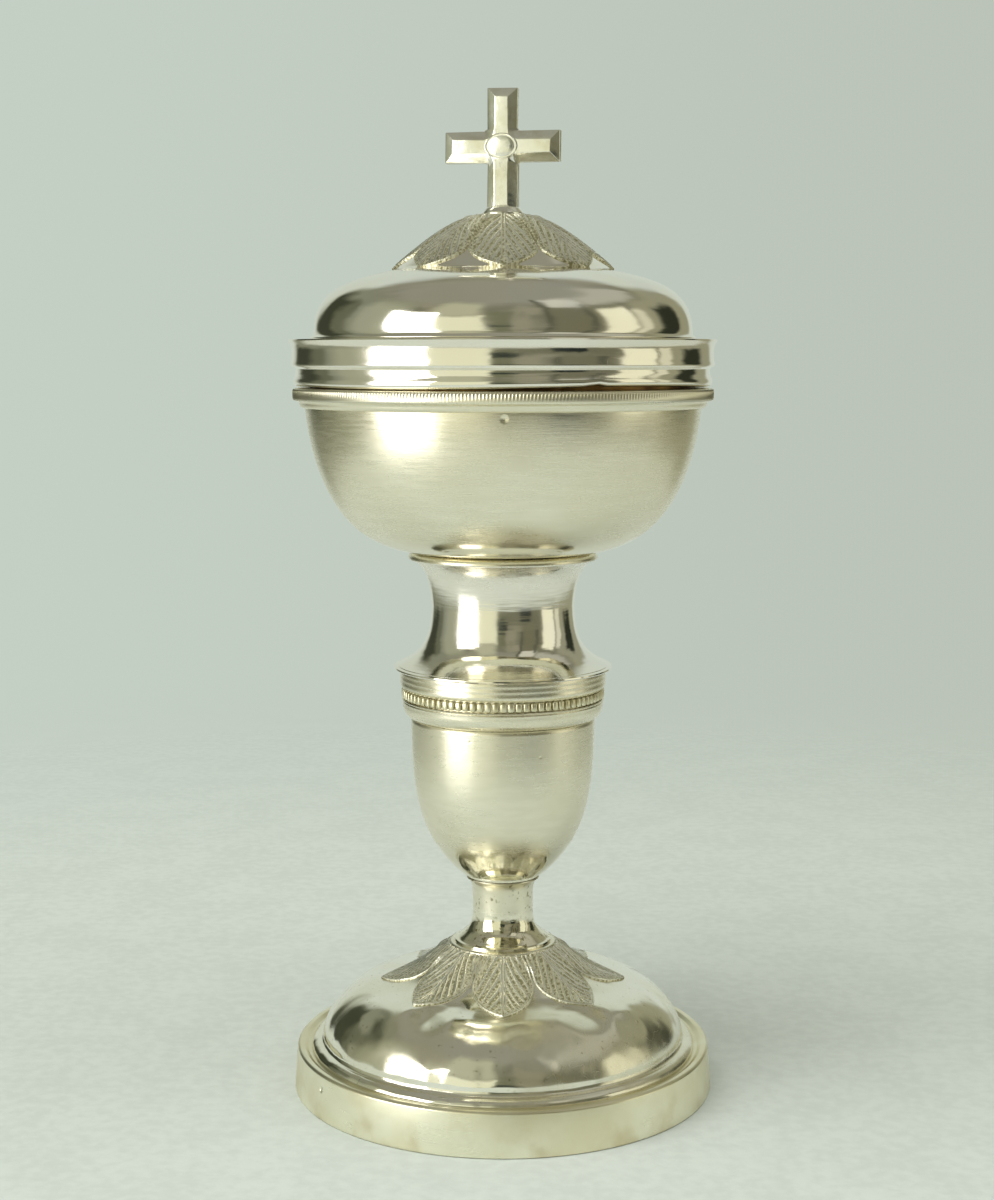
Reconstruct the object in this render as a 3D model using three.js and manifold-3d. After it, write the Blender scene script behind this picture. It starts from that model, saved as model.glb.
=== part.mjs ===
// A silver travel ciborium: a covered cup that screws onto an egg-shaped oil stock,
// which screws onto a domed foot. The lid lifts off and carries a cross.
// Lengths are in millimetres, Z points up, and the origin is the centre of the foot's underside.

import * as THREE from 'three';
import { mergeVertices } from 'three/addons/utils/BufferGeometryUtils.js';
import Module from 'manifold-3d';

const wasm = await Module();
wasm.setup();

// Facets round a turned piece
const SIDES = 32;
const SMALL_SIDES = 20;

// Fits
const SEAM = 0.25;
const SLIDING_FIT = 0.3;

// Plinth of the foot
const BASE_RADIUS = 35;
const PLINTH_HEIGHT = 7.3;
const PLINTH_LEAN = 0.55;
const PLINTH_WALL = 0.9;
const PLINTH_ARRIS = 0.4;
const PLINTH_EDGE = 0.7;
const LEDGE_RECESS = 0.6;
const STANDING_RIM = 3;

// Dome of the foot
const STEP_SETBACK = 3;
const STEP_HEIGHT = 1.1;
const BULGE_SETBACK = 4.9;
const FOOT_GROOVE_HEIGHT = 2.8;
const FOOT_LEAF_RADIUS = 20.6;
const FOOT_SHOULDER_HEIGHT = 10.35;
const FOOT_DOME_HEIGHT = 17.1;
const FOOT_DOME_TOP_RADIUS = 7.9;
const FOOT_WALL = 0.8;

// Neck, its rod and its fastening
const NECK_HEIGHT = 10.9;
const NECK_RADIUS = 5.03;
const NECK_COLLAR_RADIUS = 8.16;
const NECK_COLLAR_HEIGHT = 0.6;
const NECK_FLARE_HEIGHT = 5.1;
const NECK_LIP_RADIUS = 6;
const NECK_LIP_HEIGHT = 2.2;
const ROD_RADIUS = 2.6;
const FOOT_WASHER_RADIUS = 6.2;
const FOOT_WASHER_THICKNESS = 0.8;
const FOOT_NUT_WIDTH = 9;
const FOOT_NUT_HEIGHT = 3.2;
const ROD_TAIL = 0.85;
const STEM_WASHER_THICKNESS = 0.4;

// Screw between foot and oil stock
const STEM_THREAD_DEPTH = 0.6;
const STEM_CORE_RADIUS = 2.3;
const STEM_TURNS = 3;
const SOCKET_DEPTH = 6.34;
const SOCKET_RADIUS = 5;
const SOCKET_FLANGE = 1.2;
const SOCKET_FLANGE_HEIGHT = 0.95;
const SOCKET_TOP_WALL = 1;

// Oil stock
const STOCK_RADIUS = 15.2;
const STOCK_HEIGHT = 26.2;
const STOCK_BASE_RADIUS = 6.95;
const STOCK_WALL = 0.8;
const COLLAR_SKIRT = 3.8;
const COLLAR_WALL = 1.2;
const COLLAR_STEP = 1.5;

// Screw between oil stock and cup
const CUP_THREAD_DEPTH = 0.7;
const CUP_TURNS = 2;
const THREAD_CLEARANCE = 0.35;
const THREAD_LEAD_IN = 0.9;
const THREAD_LIP = 0.35;
const SEAL_THICKNESS = 1.5;
const BULKHEAD_THICKNESS = 0.7;

// Sleeve with its bands and beads
const SLEEVE_WALL = 0.5;
const SLEEVE_OVERHANG = 0.4;
const PLAIN_BAND_HEIGHT = 2.75;
const SLEEVE_PROUD = 0.1;
const BEAD_SEAT_HEIGHT = 2.4;
const BEAD_DEPTH = 0.75;
const BEAD_COUNT = 84;
const REEDED_BAND_HEIGHT = 2.6;
const REED_DEPTH = 0.3;

// Spool
const SPOOL_HEIGHT = 18.2;
const SPOOL_FLARE_RADIUS = 17.9;
const SPOOL_EDGE = 0.35;
const SPOOL_WAIST_RADIUS = 11.7;
const SPOOL_WAIST_HEIGHT = 10.5;
const SPOOL_TOP_RADIUS = 15.2;
const SPOOL_WALL = 0.8;
const SEAT_RING_RADIUS = 16;
const SEAT_RING_HEIGHT = 0.7;
const SEAT_RING_WIDTH = 3;

// Cup
const CUP_HEIGHT = 26.45;
const CUP_BASE_RADIUS = 15.6;
const CUP_WALL = 0.8;
const RIM_WIRE_HEIGHT = 3.2;
const RIM_FILLET_HEIGHT = 1.35;
const RIM_WIRE_DEPTH = 1.85;

// Lid
const LID_BAND_HEIGHT = 7.55;
const LID_BAND_RADIUS = 34.2;
const LID_LOW_LIP_HEIGHT = 0.98;
const LID_FACE_FOOT = 3.62;
const LID_LIP = 0.3;
const LID_HOLLOW = 0.7;
const LID_WALL = 0.8;
const BEZEL_REACH = 4;
const LID_DOME_SETBACK = 3.6;
const LID_UPRIGHT = 0.6;
const LID_LEAF_RADIUS = 17.8;
const LID_SHOULDER_HEIGHT = 10.75;
const LID_DOME_HEIGHT = 19.25;
const LID_TOP_RADIUS = 3.4;

// Leaves
const LEAF_COUNT = 8;
const LEAF_THICKNESS = 0.5;
const LEAF_VEIN = 0.25;
const FOOT_LEAF_NOTCH_RADIUS = 13;
const FOOT_LEAF_ROOT_RADIUS = 9.2;
const LID_LEAF_NOTCH_RADIUS = 11;
const LID_LEAF_ROOT_RADIUS = 4.4;

// Cross and its fastening
const CROSS_HEIGHT = 18.65;
const CROSS_SPAN = 18.25;
const CROSS_ARM_HEIGHT = 9.55;
const CROSS_BAR = 5;
const CROSS_BEVEL = 1.6;
const CROSS_THICKNESS = 3;
const CROSS_EDGE = 0.9;
const CROSS_BOSS_RADIUS = 2.1;
const CROSS_BOSS_RISE = 0.2;
const TENON_RADIUS = 1.3;
const FINIAL_COLLAR_RADIUS = 3.3;
const FINIAL_COLLAR_HEIGHT = 1.15;
const FINIAL_WASHER_RADIUS = 3.2;
const FINIAL_WASHER_THICKNESS = 0.6;
const FINIAL_NUT_WIDTH = 5;
const FINIAL_NUT_HEIGHT = 2.2;
const TENON_TAIL = 0.8;

// Heights of the foot, worked up from the table
const ledgeHeight = PLINTH_HEIGHT - LEDGE_RECESS;
const footStepRadius = BASE_RADIUS - STEP_SETBACK;
const footBulgeRadius = BASE_RADIUS - BULGE_SETBACK;
const footDomeBase = ledgeHeight + SEAM;
const footDomeTop = footDomeBase + FOOT_DOME_HEIGHT;
const neckBase = footDomeTop + SEAM;
const neckTop = neckBase + NECK_HEIGHT;
const stemWasherBase = neckTop + SEAM;
const stockBase = stemWasherBase + STEM_WASHER_THICKNESS + SEAM;
const sleeveBase = stockBase + STOCK_HEIGHT + SEAM;
const sleeveHeight = PLAIN_BAND_HEIGHT + BEAD_SEAT_HEIGHT + REEDED_BAND_HEIGHT;

// Heights inside the cup unit, worked up from the sleeve's lower edge
const spoolBase = sleeveHeight + SEAM;
const seatRingBase = spoolBase + SPOOL_HEIGHT + SEAM;
const cupBase = seatRingBase + SEAT_RING_HEIGHT + SEAM;
const lidBase = sleeveBase + cupBase + CUP_HEIGHT + SEAM;
const bulkheadBase = sleeveHeight - SEAM - BULKHEAD_THICKNESS;
const sealBase = bulkheadBase - SEAM - SEAL_THICKNESS;

// Heights inside the lid, worked up from the band's lower edge
const lidDomeBase = LID_BAND_HEIGHT + SEAM;
const lidDomeTop = lidDomeBase + LID_DOME_HEIGHT;
const finialCollarBase = lidDomeTop + SEAM;
const crossBase = finialCollarBase + FINIAL_COLLAR_HEIGHT + SEAM;
const finialWasherBase = lidDomeTop - LID_WALL - SEAM - FINIAL_WASHER_THICKNESS;
const finialNutBase = finialWasherBase - SEAM - FINIAL_NUT_HEIGHT;
const tenonBase = finialNutBase - TENON_TAIL;

// Under the foot's dome
const footWasherBase = footDomeTop - FOOT_WALL - SEAM - FOOT_WASHER_THICKNESS;
const footNutBase = footWasherBase - SEAM - FOOT_NUT_HEIGHT;
const rodBase = footNutBase - ROD_TAIL;

// Thread proportions, as shares of the pitch
const THREAD_ROOT = 0.45;
const THREAD_CREST = 0.2;
const MALE_SHORTFALL = 0.2;
const collarTop = sealBase - SEAM;
const cupPitch = (collarTop - THREAD_LIP - THREAD_LEAD_IN) / (CUP_TURNS - THREAD_ROOT / 2);
const stemRodReach = SOCKET_DEPTH - 2 * SLIDING_FIT;
const stemPitch = (stemRodReach - THREAD_LIP - THREAD_LEAD_IN) / (STEM_TURNS - THREAD_ROOT / 2);

// Radii that fit one another
const collarSkirtRadius = STOCK_RADIUS - STOCK_WALL - SLIDING_FIT;
const collarRadius = collarSkirtRadius - COLLAR_STEP;
const threadRingBore = collarRadius + CUP_THREAD_DEPTH + THREAD_CLEARANCE;
const sleeveBore = STOCK_RADIUS + SLEEVE_OVERHANG;
const beadSeatRadius = sleeveBore + SLEEVE_WALL;
const reededRadius = beadSeatRadius + SLEEVE_WALL + REED_DEPTH;
const sealRadius = sleeveBore - SLIDING_FIT;
const cupRadius = LID_BAND_RADIUS - RIM_WIRE_DEPTH - SEAM;
const cupInnerRadius = cupRadius - CUP_WALL;
const bezelRadius = cupInnerRadius - SLIDING_FIT;
const lidDomeRadius = LID_BAND_RADIUS - LID_DOME_SETBACK;
const neckBore = ROD_RADIUS + SLIDING_FIT;
const socketBore = STEM_CORE_RADIUS + STEM_THREAD_DEPTH + THREAD_CLEARANCE;
const tenonHole = TENON_RADIUS + SLIDING_FIT;

// Finishes, each piece getting a material of its own
const polishedSilver = { color: 0xdedac8, roughness: 0.16, metalness: 1 };
const satinSilver = { color: 0xd6d1bb, roughness: 0.36, metalness: 1 };
const mattedSilver = { color: 0xc4bfa6, roughness: 0.6, metalness: 1 };
const giltSilver = { color: 0xd8b35c, roughness: 0.28, metalness: 1 };
const tannedLeather = { color: 0x8a6440, roughness: 0.8, metalness: 0 };

function piece(name, geometry, finish, height = 0) {
  const mesh = new THREE.Mesh(geometry, new THREE.MeshStandardMaterial(finish));
  mesh.name = name;
  mesh.position.z = height;
  return mesh;
}

// A profile is a list of [radius, height] points, taken up the outside and down the inside.
function turned(profile, sides = SIDES) {
  const points = profile.map(([radius, height]) => new THREE.Vector2(radius, height));
  return new THREE.LatheGeometry(points, sides).rotateX(Math.PI / 2);
}

function turnedRing(profile, sides = SIDES) {
  return turned([...profile, profile[0]], sides);
}

function plainRing(inner, outer, height, sides = SIDES) {
  return turnedRing([[inner, 0], [outer, 0], [outer, height], [inner, height]], sides);
}

function disc(radius, height) {
  const cylinder = new THREE.CylinderGeometry(radius, radius, height, SIDES);
  return cylinder.rotateX(Math.PI / 2).translate(0, 0, height / 2);
}

// A smooth bend from one profile point to another.
// Each handle is a share of the way across and of the way up between the two.
function bend(from, to, firstHandle, secondHandle, steps) {
  const between = ([across, up]) => new THREE.Vector2(
    from[0] + (to[0] - from[0]) * across,
    from[1] + (to[1] - from[1]) * up,
  );
  const curve = new THREE.CubicBezierCurve(
    between([0, 0]), between(firstHandle), between(secondHandle), between([1, 1]),
  );
  return curve.getPoints(steps).map((point) => [point.x, point.y]);
}

// Shifts a profile to its left by a distance, which is inwards on a profile that climbs.
// A sharp corner keeps its mitre short.
function shifted(profile, distance) {
  const sharpest = 0.6;
  return profile.map((point, index) => {
    const before = profile[Math.max(index - 1, 0)];
    const after = profile[Math.min(index + 1, profile.length - 1)];
    const ahead = unit(after[0] - point[0], after[1] - point[1]);
    const into = unit(point[0] - before[0], point[1] - before[1]) ?? ahead;
    const out = ahead ?? into;
    const middle = unit(into[0] + out[0], into[1] + out[1]);
    const reach = distance / Math.max(middle[0] * out[0] + middle[1] * out[1], sharpest);
    return [point[0] - middle[1] * reach, point[1] + middle[0] * reach];
  });
}

// The inside of a thin shell: the outside moved in by the wall, with fewer points along its bends
function insideOf(outside, wall) {
  const last = outside.length - 1;
  return shifted(outside, wall).filter((_, index) => index < 2 || index % 2 === 0 || index > last - 2);
}

function unit(across, up) {
  const length = Math.hypot(across, up);
  return length > 1e-9 ? [across / length, up / length] : null;
}

// Keeps the part of a climbing profile between two heights, with a point where it is cut.
function cutBetween(profile, low, high) {
  const kept = [];
  profile.forEach((point, index) => {
    const next = profile[index + 1];
    if (point[1] >= low && point[1] <= high) kept.push(point);
    for (const level of [low, high]) {
      if (next && (point[1] - level) * (next[1] - level) < 0) {
        const share = (level - point[1]) / (next[1] - point[1]);
        kept.push([point[0] + (next[0] - point[0]) * share, level]);
      }
    }
  });
  return kept;
}

// A turned or swept geometry as a solid that can be joined and cut
function solidOf(geometry) {
  const bare = geometry.clone();
  bare.deleteAttribute('normal');
  bare.deleteAttribute('uv');
  const merged = mergeVertices(bare, 1e-5);
  const corners = Array.from(merged.index.array);
  const kept = [];
  for (let i = 0; i < corners.length; i += 3) {
    const [a, b, c] = corners.slice(i, i + 3);
    if (a !== b && b !== c && c !== a) kept.push(a, b, c);
  }
  return new wasm.Manifold(new wasm.Mesh({
    numProp: 3,
    vertProperties: new Float32Array(merged.attributes.position.array),
    triVerts: new Uint32Array(kept),
  }));
}

function geometryOf(solid) {
  const mesh = solid.getMesh();
  const geometry = new THREE.BufferGeometry();
  geometry.setAttribute('position', new THREE.BufferAttribute(mesh.vertProperties, mesh.numProp));
  geometry.setIndex(new THREE.BufferAttribute(mesh.triVerts, 1));
  return geometry.toNonIndexed();
}

function joined(first, ...others) {
  return geometryOf(others.reduce((sum, next) => sum.add(solidOf(next)), solidOf(first)));
}

// A right-hand helical ridge from a root radius to a crest radius, its middle starting at a height.
function threadRidge({ root, crest, pitch, turns, bottom, startTurn = 0, steps }) {
  const rings = Math.ceil(turns * steps);
  const inward = crest < root;
  const positions = [];
  const corners = [
    [root, -THREAD_ROOT / 2], [crest, -THREAD_CREST / 2], [crest, THREAD_CREST / 2], [root, THREAD_ROOT / 2],
  ];
  if (inward) corners.reverse();
  const at = (ring, corner) => {
    const turn = (turns * ring) / rings;
    const angle = (turn + startTurn) * 2 * Math.PI;
    const [radius, share] = corners[(corner + corners.length) % corners.length];
    return [radius * Math.cos(angle), radius * Math.sin(angle), bottom + (turn + share) * pitch];
  };
  const quad = (a, b, c, d) => positions.push(...a, ...b, ...c, ...a, ...c, ...d);
  for (let ring = 0; ring < rings; ring += 1) {
    for (let corner = 0; corner < corners.length; corner += 1) {
      quad(at(ring, corner), at(ring + 1, corner), at(ring + 1, corner + 1), at(ring, corner + 1));
    }
  }
  quad(at(0, 0), at(0, 1), at(0, 2), at(0, 3));
  quad(at(rings, 3), at(rings, 2), at(rings, 1), at(rings, 0));
  const geometry = new THREE.BufferGeometry();
  geometry.setAttribute('position', new THREE.Float32BufferAttribute(positions, 3));
  return geometry;
}

// A hexagonal nut with its hole, its base at height zero
function hexNut(width, height, hole) {
  const corner = width / Math.sqrt(3);
  const outline = new THREE.Shape();
  for (let side = 0; side < 6; side += 1) {
    const angle = (side * Math.PI) / 3;
    outline[side ? 'lineTo' : 'moveTo'](corner * Math.cos(angle), corner * Math.sin(angle));
  }
  outline.closePath();
  outline.holes.push(new THREE.Path().absarc(0, 0, hole, 0, 2 * Math.PI, true));
  return new THREE.ExtrudeGeometry(outline, { depth: height, bevelEnabled: false, curveSegments: 10 });
}

// Foot unit

function plinthRing() {
  const top = BASE_RADIUS - PLINTH_LEAN;
  const ledgeInner = footBulgeRadius - FOOT_WALL;
  return turnedRing([
    [BASE_RADIUS - STANDING_RIM, 0],
    [BASE_RADIUS, 0],
    [top, PLINTH_HEIGHT - PLINTH_ARRIS],
    [top - PLINTH_ARRIS, PLINTH_HEIGHT],
    [top - PLINTH_ARRIS - PLINTH_EDGE, PLINTH_HEIGHT],
    [top - PLINTH_ARRIS - PLINTH_EDGE - LEDGE_RECESS, ledgeHeight],
    [ledgeInner, ledgeHeight],
    [ledgeInner, ledgeHeight - PLINTH_WALL],
    [top - PLINTH_WALL, ledgeHeight - PLINTH_WALL],
    [BASE_RADIUS - PLINTH_WALL, PLINTH_WALL],
    [BASE_RADIUS - STANDING_RIM, PLINTH_WALL],
  ]);
}

// The dome's outside above its step, from the groove to the rim of its top hole
function footDomeOutside() {
  const groove = [footBulgeRadius, FOOT_GROOVE_HEIGHT];
  const shoulder = [FOOT_LEAF_RADIUS, FOOT_SHOULDER_HEIGHT];
  const top = [FOOT_DOME_TOP_RADIUS, FOOT_DOME_HEIGHT];
  return [
    [footBulgeRadius, STEP_HEIGHT * 1.6],
    ...bend(groove, shoulder, [0, 0.38], [0.5, 0.97], 6),
    ...bend(shoulder, top, [0.5, 0.13], [0.64, 0.63], 5).slice(1),
    [neckBore, FOOT_DOME_HEIGHT],
  ];
}

function footDome() {
  const outside = footDomeOutside();
  const inside = insideOf(outside, FOOT_WALL);
  inside[0] = [footBulgeRadius - FOOT_WALL, 0];
  return turnedRing([
    [footStepRadius, 0],
    [footStepRadius, STEP_HEIGHT / 2],
    [footStepRadius - STEP_HEIGHT / 2, STEP_HEIGHT],
    [footBulgeRadius + SEAM, STEP_HEIGHT * 1.3],
    ...outside,
    ...inside.reverse(),
  ]);
}

function stemNeck() {
  const flareTop = NECK_COLLAR_HEIGHT + NECK_FLARE_HEIGHT;
  const lipFoot = NECK_HEIGHT - NECK_LIP_HEIGHT;
  return turnedRing([
    [neckBore, 0],
    [NECK_COLLAR_RADIUS - NECK_COLLAR_HEIGHT / 2, 0],
    [NECK_COLLAR_RADIUS, NECK_COLLAR_HEIGHT / 2],
    ...bend([NECK_COLLAR_RADIUS, NECK_COLLAR_HEIGHT], [NECK_RADIUS, flareTop], [0.7, 0.42], [1, 0.27], 6),
    ...bend([NECK_RADIUS, lipFoot], [NECK_LIP_RADIUS, NECK_HEIGHT], [0.1, 0.6], [0.4, 0.95], 3),
    [neckBore, NECK_HEIGHT],
  ], SMALL_SIDES);
}

function stemScrew() {
  const shoulder = neckTop - rodBase;
  const top = stockBase + stemRodReach - rodBase;
  const rod = turned([
    [0, 0],
    [ROD_RADIUS, 0],
    [ROD_RADIUS, shoulder],
    [STEM_CORE_RADIUS, shoulder],
    [STEM_CORE_RADIUS, top],
    [0, top],
  ], SMALL_SIDES);
  return joined(rod, threadRidge({
    root: STEM_CORE_RADIUS - SEAM,
    crest: STEM_CORE_RADIUS + STEM_THREAD_DEPTH,
    pitch: stemPitch,
    turns: STEM_TURNS - MALE_SHORTFALL,
    bottom: stockBase - rodBase + THREAD_LEAD_IN - stemPitch / 4,
    startTurn: 0.25,
    steps: 12,
  }));
}

function stemWasher() {
  const bore = STEM_CORE_RADIUS + STEM_THREAD_DEPTH + SLIDING_FIT;
  return plainRing(bore, NECK_LIP_RADIUS, STEM_WASHER_THICKNESS, SMALL_SIDES);
}

// Oil stock unit

function stockBody() {
  const foot = [STOCK_BASE_RADIUS, 0];
  const mouth = [STOCK_RADIUS, STOCK_HEIGHT];
  const outside = [
    [SOCKET_RADIUS + SEAM, 0],
    ...bend(foot, mouth, [1.01, 0.27], [0.955, 0.63], 9),
  ];
  const inside = insideOf(outside, STOCK_WALL);
  inside[inside.length - 1] = [STOCK_RADIUS - STOCK_WALL, STOCK_HEIGHT];
  return turnedRing([...outside, ...inside.reverse()]);
}

function stockSocket() {
  const flangeFoot = STOCK_WALL + SEAM;
  const flangeTop = flangeFoot + SOCKET_FLANGE_HEIGHT;
  const top = SOCKET_DEPTH + SOCKET_TOP_WALL;
  const boss = turned([
    [0, SOCKET_DEPTH],
    [socketBore, SOCKET_DEPTH],
    [socketBore, 0],
    [SOCKET_RADIUS, 0],
    [SOCKET_RADIUS, flangeFoot],
    [SOCKET_RADIUS + SOCKET_FLANGE, flangeFoot],
    [SOCKET_RADIUS + SOCKET_FLANGE, flangeTop],
    [SOCKET_RADIUS, flangeTop],
    [socketBore + SOCKET_TOP_WALL, top],
    [0, top],
  ], SMALL_SIDES);
  return joined(boss, threadRidge({
    root: socketBore + SEAM,
    crest: socketBore - STEM_THREAD_DEPTH,
    pitch: stemPitch,
    turns: 1,
    bottom: THREAD_LEAD_IN,
    steps: 12,
  }));
}

function stockThreadCollar() {
  const shoulder = COLLAR_SKIRT;
  const top = COLLAR_SKIRT + SEAM + collarTop;
  const bore = collarRadius - COLLAR_WALL;
  const collar = turnedRing([
    [collarSkirtRadius - COLLAR_WALL, 0],
    [collarSkirtRadius, 0],
    [collarSkirtRadius, shoulder],
    [collarRadius, shoulder],
    [collarRadius, top],
    [bore, top],
    [bore, shoulder - COLLAR_WALL],
    [collarSkirtRadius - COLLAR_WALL, shoulder - COLLAR_WALL],
  ]);
  return joined(collar, threadRidge({
    root: collarRadius - SEAM,
    crest: collarRadius + CUP_THREAD_DEPTH,
    pitch: cupPitch,
    turns: CUP_TURNS - MALE_SHORTFALL,
    bottom: COLLAR_SKIRT + SEAM + THREAD_LEAD_IN - cupPitch / 4,
    startTurn: 0.25,
    steps: 24,
  }));
}

// Cup unit

function collarSleeve() {
  const foot = STOCK_RADIUS + SLEEVE_PROUD;
  const plainTop = beadSeatRadius + SLEEVE_WALL;
  const swellTop = PLAIN_BAND_HEIGHT - SLEEVE_WALL;
  const seatTop = PLAIN_BAND_HEIGHT + BEAD_SEAT_HEIGHT;
  const reedMiddle = seatTop + REEDED_BAND_HEIGHT / 2;
  return turnedRing([
    ...bend([foot, 0], [plainTop, swellTop], [0.6, 0.1], [1, 0.5], 4),
    [plainTop, PLAIN_BAND_HEIGHT],
    [beadSeatRadius, PLAIN_BAND_HEIGHT],
    [beadSeatRadius, seatTop],
    [reededRadius, seatTop],
    [reededRadius, reedMiddle - REED_DEPTH],
    [reededRadius - REED_DEPTH, reedMiddle],
    [reededRadius, reedMiddle + REED_DEPTH],
    [reededRadius, sleeveHeight],
    [sleeveBore, sleeveHeight],
    [sleeveBore, swellTop],
    [foot - SLEEVE_WALL, swellTop / 2],
    [foot - SLEEVE_WALL, 0],
  ]);
}

function sleeveThreadRing() {
  const height = THREAD_LEAD_IN + (1 + THREAD_ROOT) * cupPitch;
  const outer = STOCK_RADIUS + SLEEVE_PROUD - SLEEVE_WALL - SEAM;
  return joined(plainRing(threadRingBore, outer, height), threadRidge({
    root: threadRingBore + SEAM,
    crest: threadRingBore - CUP_THREAD_DEPTH,
    pitch: cupPitch,
    turns: 1,
    bottom: THREAD_LEAD_IN,
    steps: 24,
  }));
}

// A ring whose outer face stands out in a row of beads
function beadRing() {
  const inner = beadSeatRadius + SEAM;
  const height = BEAD_SEAT_HEIGHT - 2 * SEAM;
  const rim = inner + BEAD_DEPTH / 2;
  const geometry = turnedRing([
    [inner, 0], [rim, 0], [rim, height / 2], [rim, height], [inner, height],
  ], 2 * BEAD_COUNT);
  const position = geometry.attributes.position;
  const pointsInRow = 6;
  const crown = 2;
  const grow = (inner + BEAD_DEPTH) / rim;
  for (let bead = 0; bead < BEAD_COUNT; bead += 1) {
    const index = (2 * bead + 1) * pointsInRow + crown;
    position.setXY(index, position.getX(index) * grow, position.getY(index) * grow);
  }
  return geometry;
}

function spoolStem() {
  const waist = [SPOOL_WAIST_RADIUS, SPOOL_WAIST_HEIGHT];
  const lower = bend([SPOOL_FLARE_RADIUS, SPOOL_EDGE], waist, [0.776, 0.215], [0.971, 0.421], 7);
  const upper = bend(waist, [SPOOL_TOP_RADIUS, SPOOL_HEIGHT], [0.05, 0.42], [0.23, 0.87], 6);
  const outside = [...lower, ...upper.slice(1)];
  const inside = cutBetween(insideOf(outside, SPOOL_WALL), 0, SPOOL_HEIGHT);
  return turnedRing([[SPOOL_FLARE_RADIUS, 0], ...outside, ...inside.reverse()]);
}

function seatRing() {
  return plainRing(SEAT_RING_RADIUS - SEAT_RING_WIDTH, SEAT_RING_RADIUS, SEAT_RING_HEIGHT);
}

function cupBowl() {
  const wallFoot = CUP_HEIGHT - RIM_WIRE_HEIGHT;
  const outside = [
    [0, 0],
    ...bend([CUP_BASE_RADIUS, 0], [cupRadius, wallFoot], [0.78, 0.074], [0.957, 0.69], 11),
    [cupRadius, CUP_HEIGHT],
  ];
  return turned([...outside, ...insideOf(outside, CUP_WALL).reverse()]);
}

function rimWire() {
  const inner = cupRadius + SEAM;
  const outer = inner + RIM_WIRE_DEPTH;
  const round = (RIM_WIRE_HEIGHT - RIM_FILLET_HEIGHT) / 6;
  return turnedRing([
    [inner, 0],
    [inner + RIM_WIRE_DEPTH / 3, 0],
    [inner + RIM_WIRE_DEPTH / 2, RIM_FILLET_HEIGHT - round],
    [outer - round, RIM_FILLET_HEIGHT],
    [outer, RIM_FILLET_HEIGHT + round],
    [outer, RIM_WIRE_HEIGHT - round],
    [outer - round, RIM_WIRE_HEIGHT],
    [inner, RIM_WIRE_HEIGHT],
  ]);
}

// Lid unit

function lidBand() {
  const radius = LID_BAND_RADIUS;
  const inner = radius - LID_HOLLOW - LID_WALL;
  const flange = bezelRadius + SEAM;
  const ledgeInner = lidDomeRadius - 1.5 * LID_WALL;
  const hollow = (LID_LOW_LIP_HEIGHT + LID_FACE_FOOT) / 2;
  return turnedRing([
    [flange, 0],
    [radius - 2 * LID_HOLLOW, 0],
    [radius - LID_HOLLOW, LID_LIP],
    [radius - LID_LIP, LID_LOW_LIP_HEIGHT],
    [radius - LID_HOLLOW, hollow],
    [radius - LID_HOLLOW, LID_FACE_FOOT - LID_LIP],
    [radius, LID_FACE_FOOT],
    [radius, LID_BAND_HEIGHT - 2 * LID_LIP],
    [radius + LID_LIP, LID_BAND_HEIGHT - LID_LIP],
    [radius + LID_LIP, LID_BAND_HEIGHT],
    [ledgeInner, LID_BAND_HEIGHT],
    [ledgeInner, LID_BAND_HEIGHT - LID_WALL],
    [inner, LID_BAND_HEIGHT - LID_WALL],
    [inner, LID_WALL],
    [flange, LID_WALL],
  ]);
}

function lidBezel() {
  const height = BEZEL_REACH + LID_BAND_HEIGHT - LID_WALL - SEAM;
  return plainRing(bezelRadius - LID_WALL, bezelRadius, height);
}

function lidDomeOutside() {
  const shoulder = [LID_LEAF_RADIUS, LID_SHOULDER_HEIGHT];
  return [
    [lidDomeRadius, 0],
    ...bend([lidDomeRadius, LID_UPRIGHT], shoulder, [0, 0.73], [0.496, 0.86], 7),
    ...bend(shoulder, [LID_TOP_RADIUS, LID_DOME_HEIGHT], [0.264, 0.365], [0.66, 0.976], 5).slice(1),
    [tenonHole, LID_DOME_HEIGHT],
  ];
}

function lidDome() {
  const outside = lidDomeOutside();
  return turnedRing([...outside, ...insideOf(outside, LID_WALL).reverse()]);
}

function finialCollar() {
  return turnedRing([
    [tenonHole, 0],
    [FINIAL_COLLAR_RADIUS, 0],
    [FINIAL_COLLAR_RADIUS, FINIAL_COLLAR_HEIGHT / 3],
    [(FINIAL_COLLAR_RADIUS + tenonHole) / 2, FINIAL_COLLAR_HEIGHT],
    [tenonHole, FINIAL_COLLAR_HEIGHT],
  ], SMALL_SIDES);
}

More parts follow.
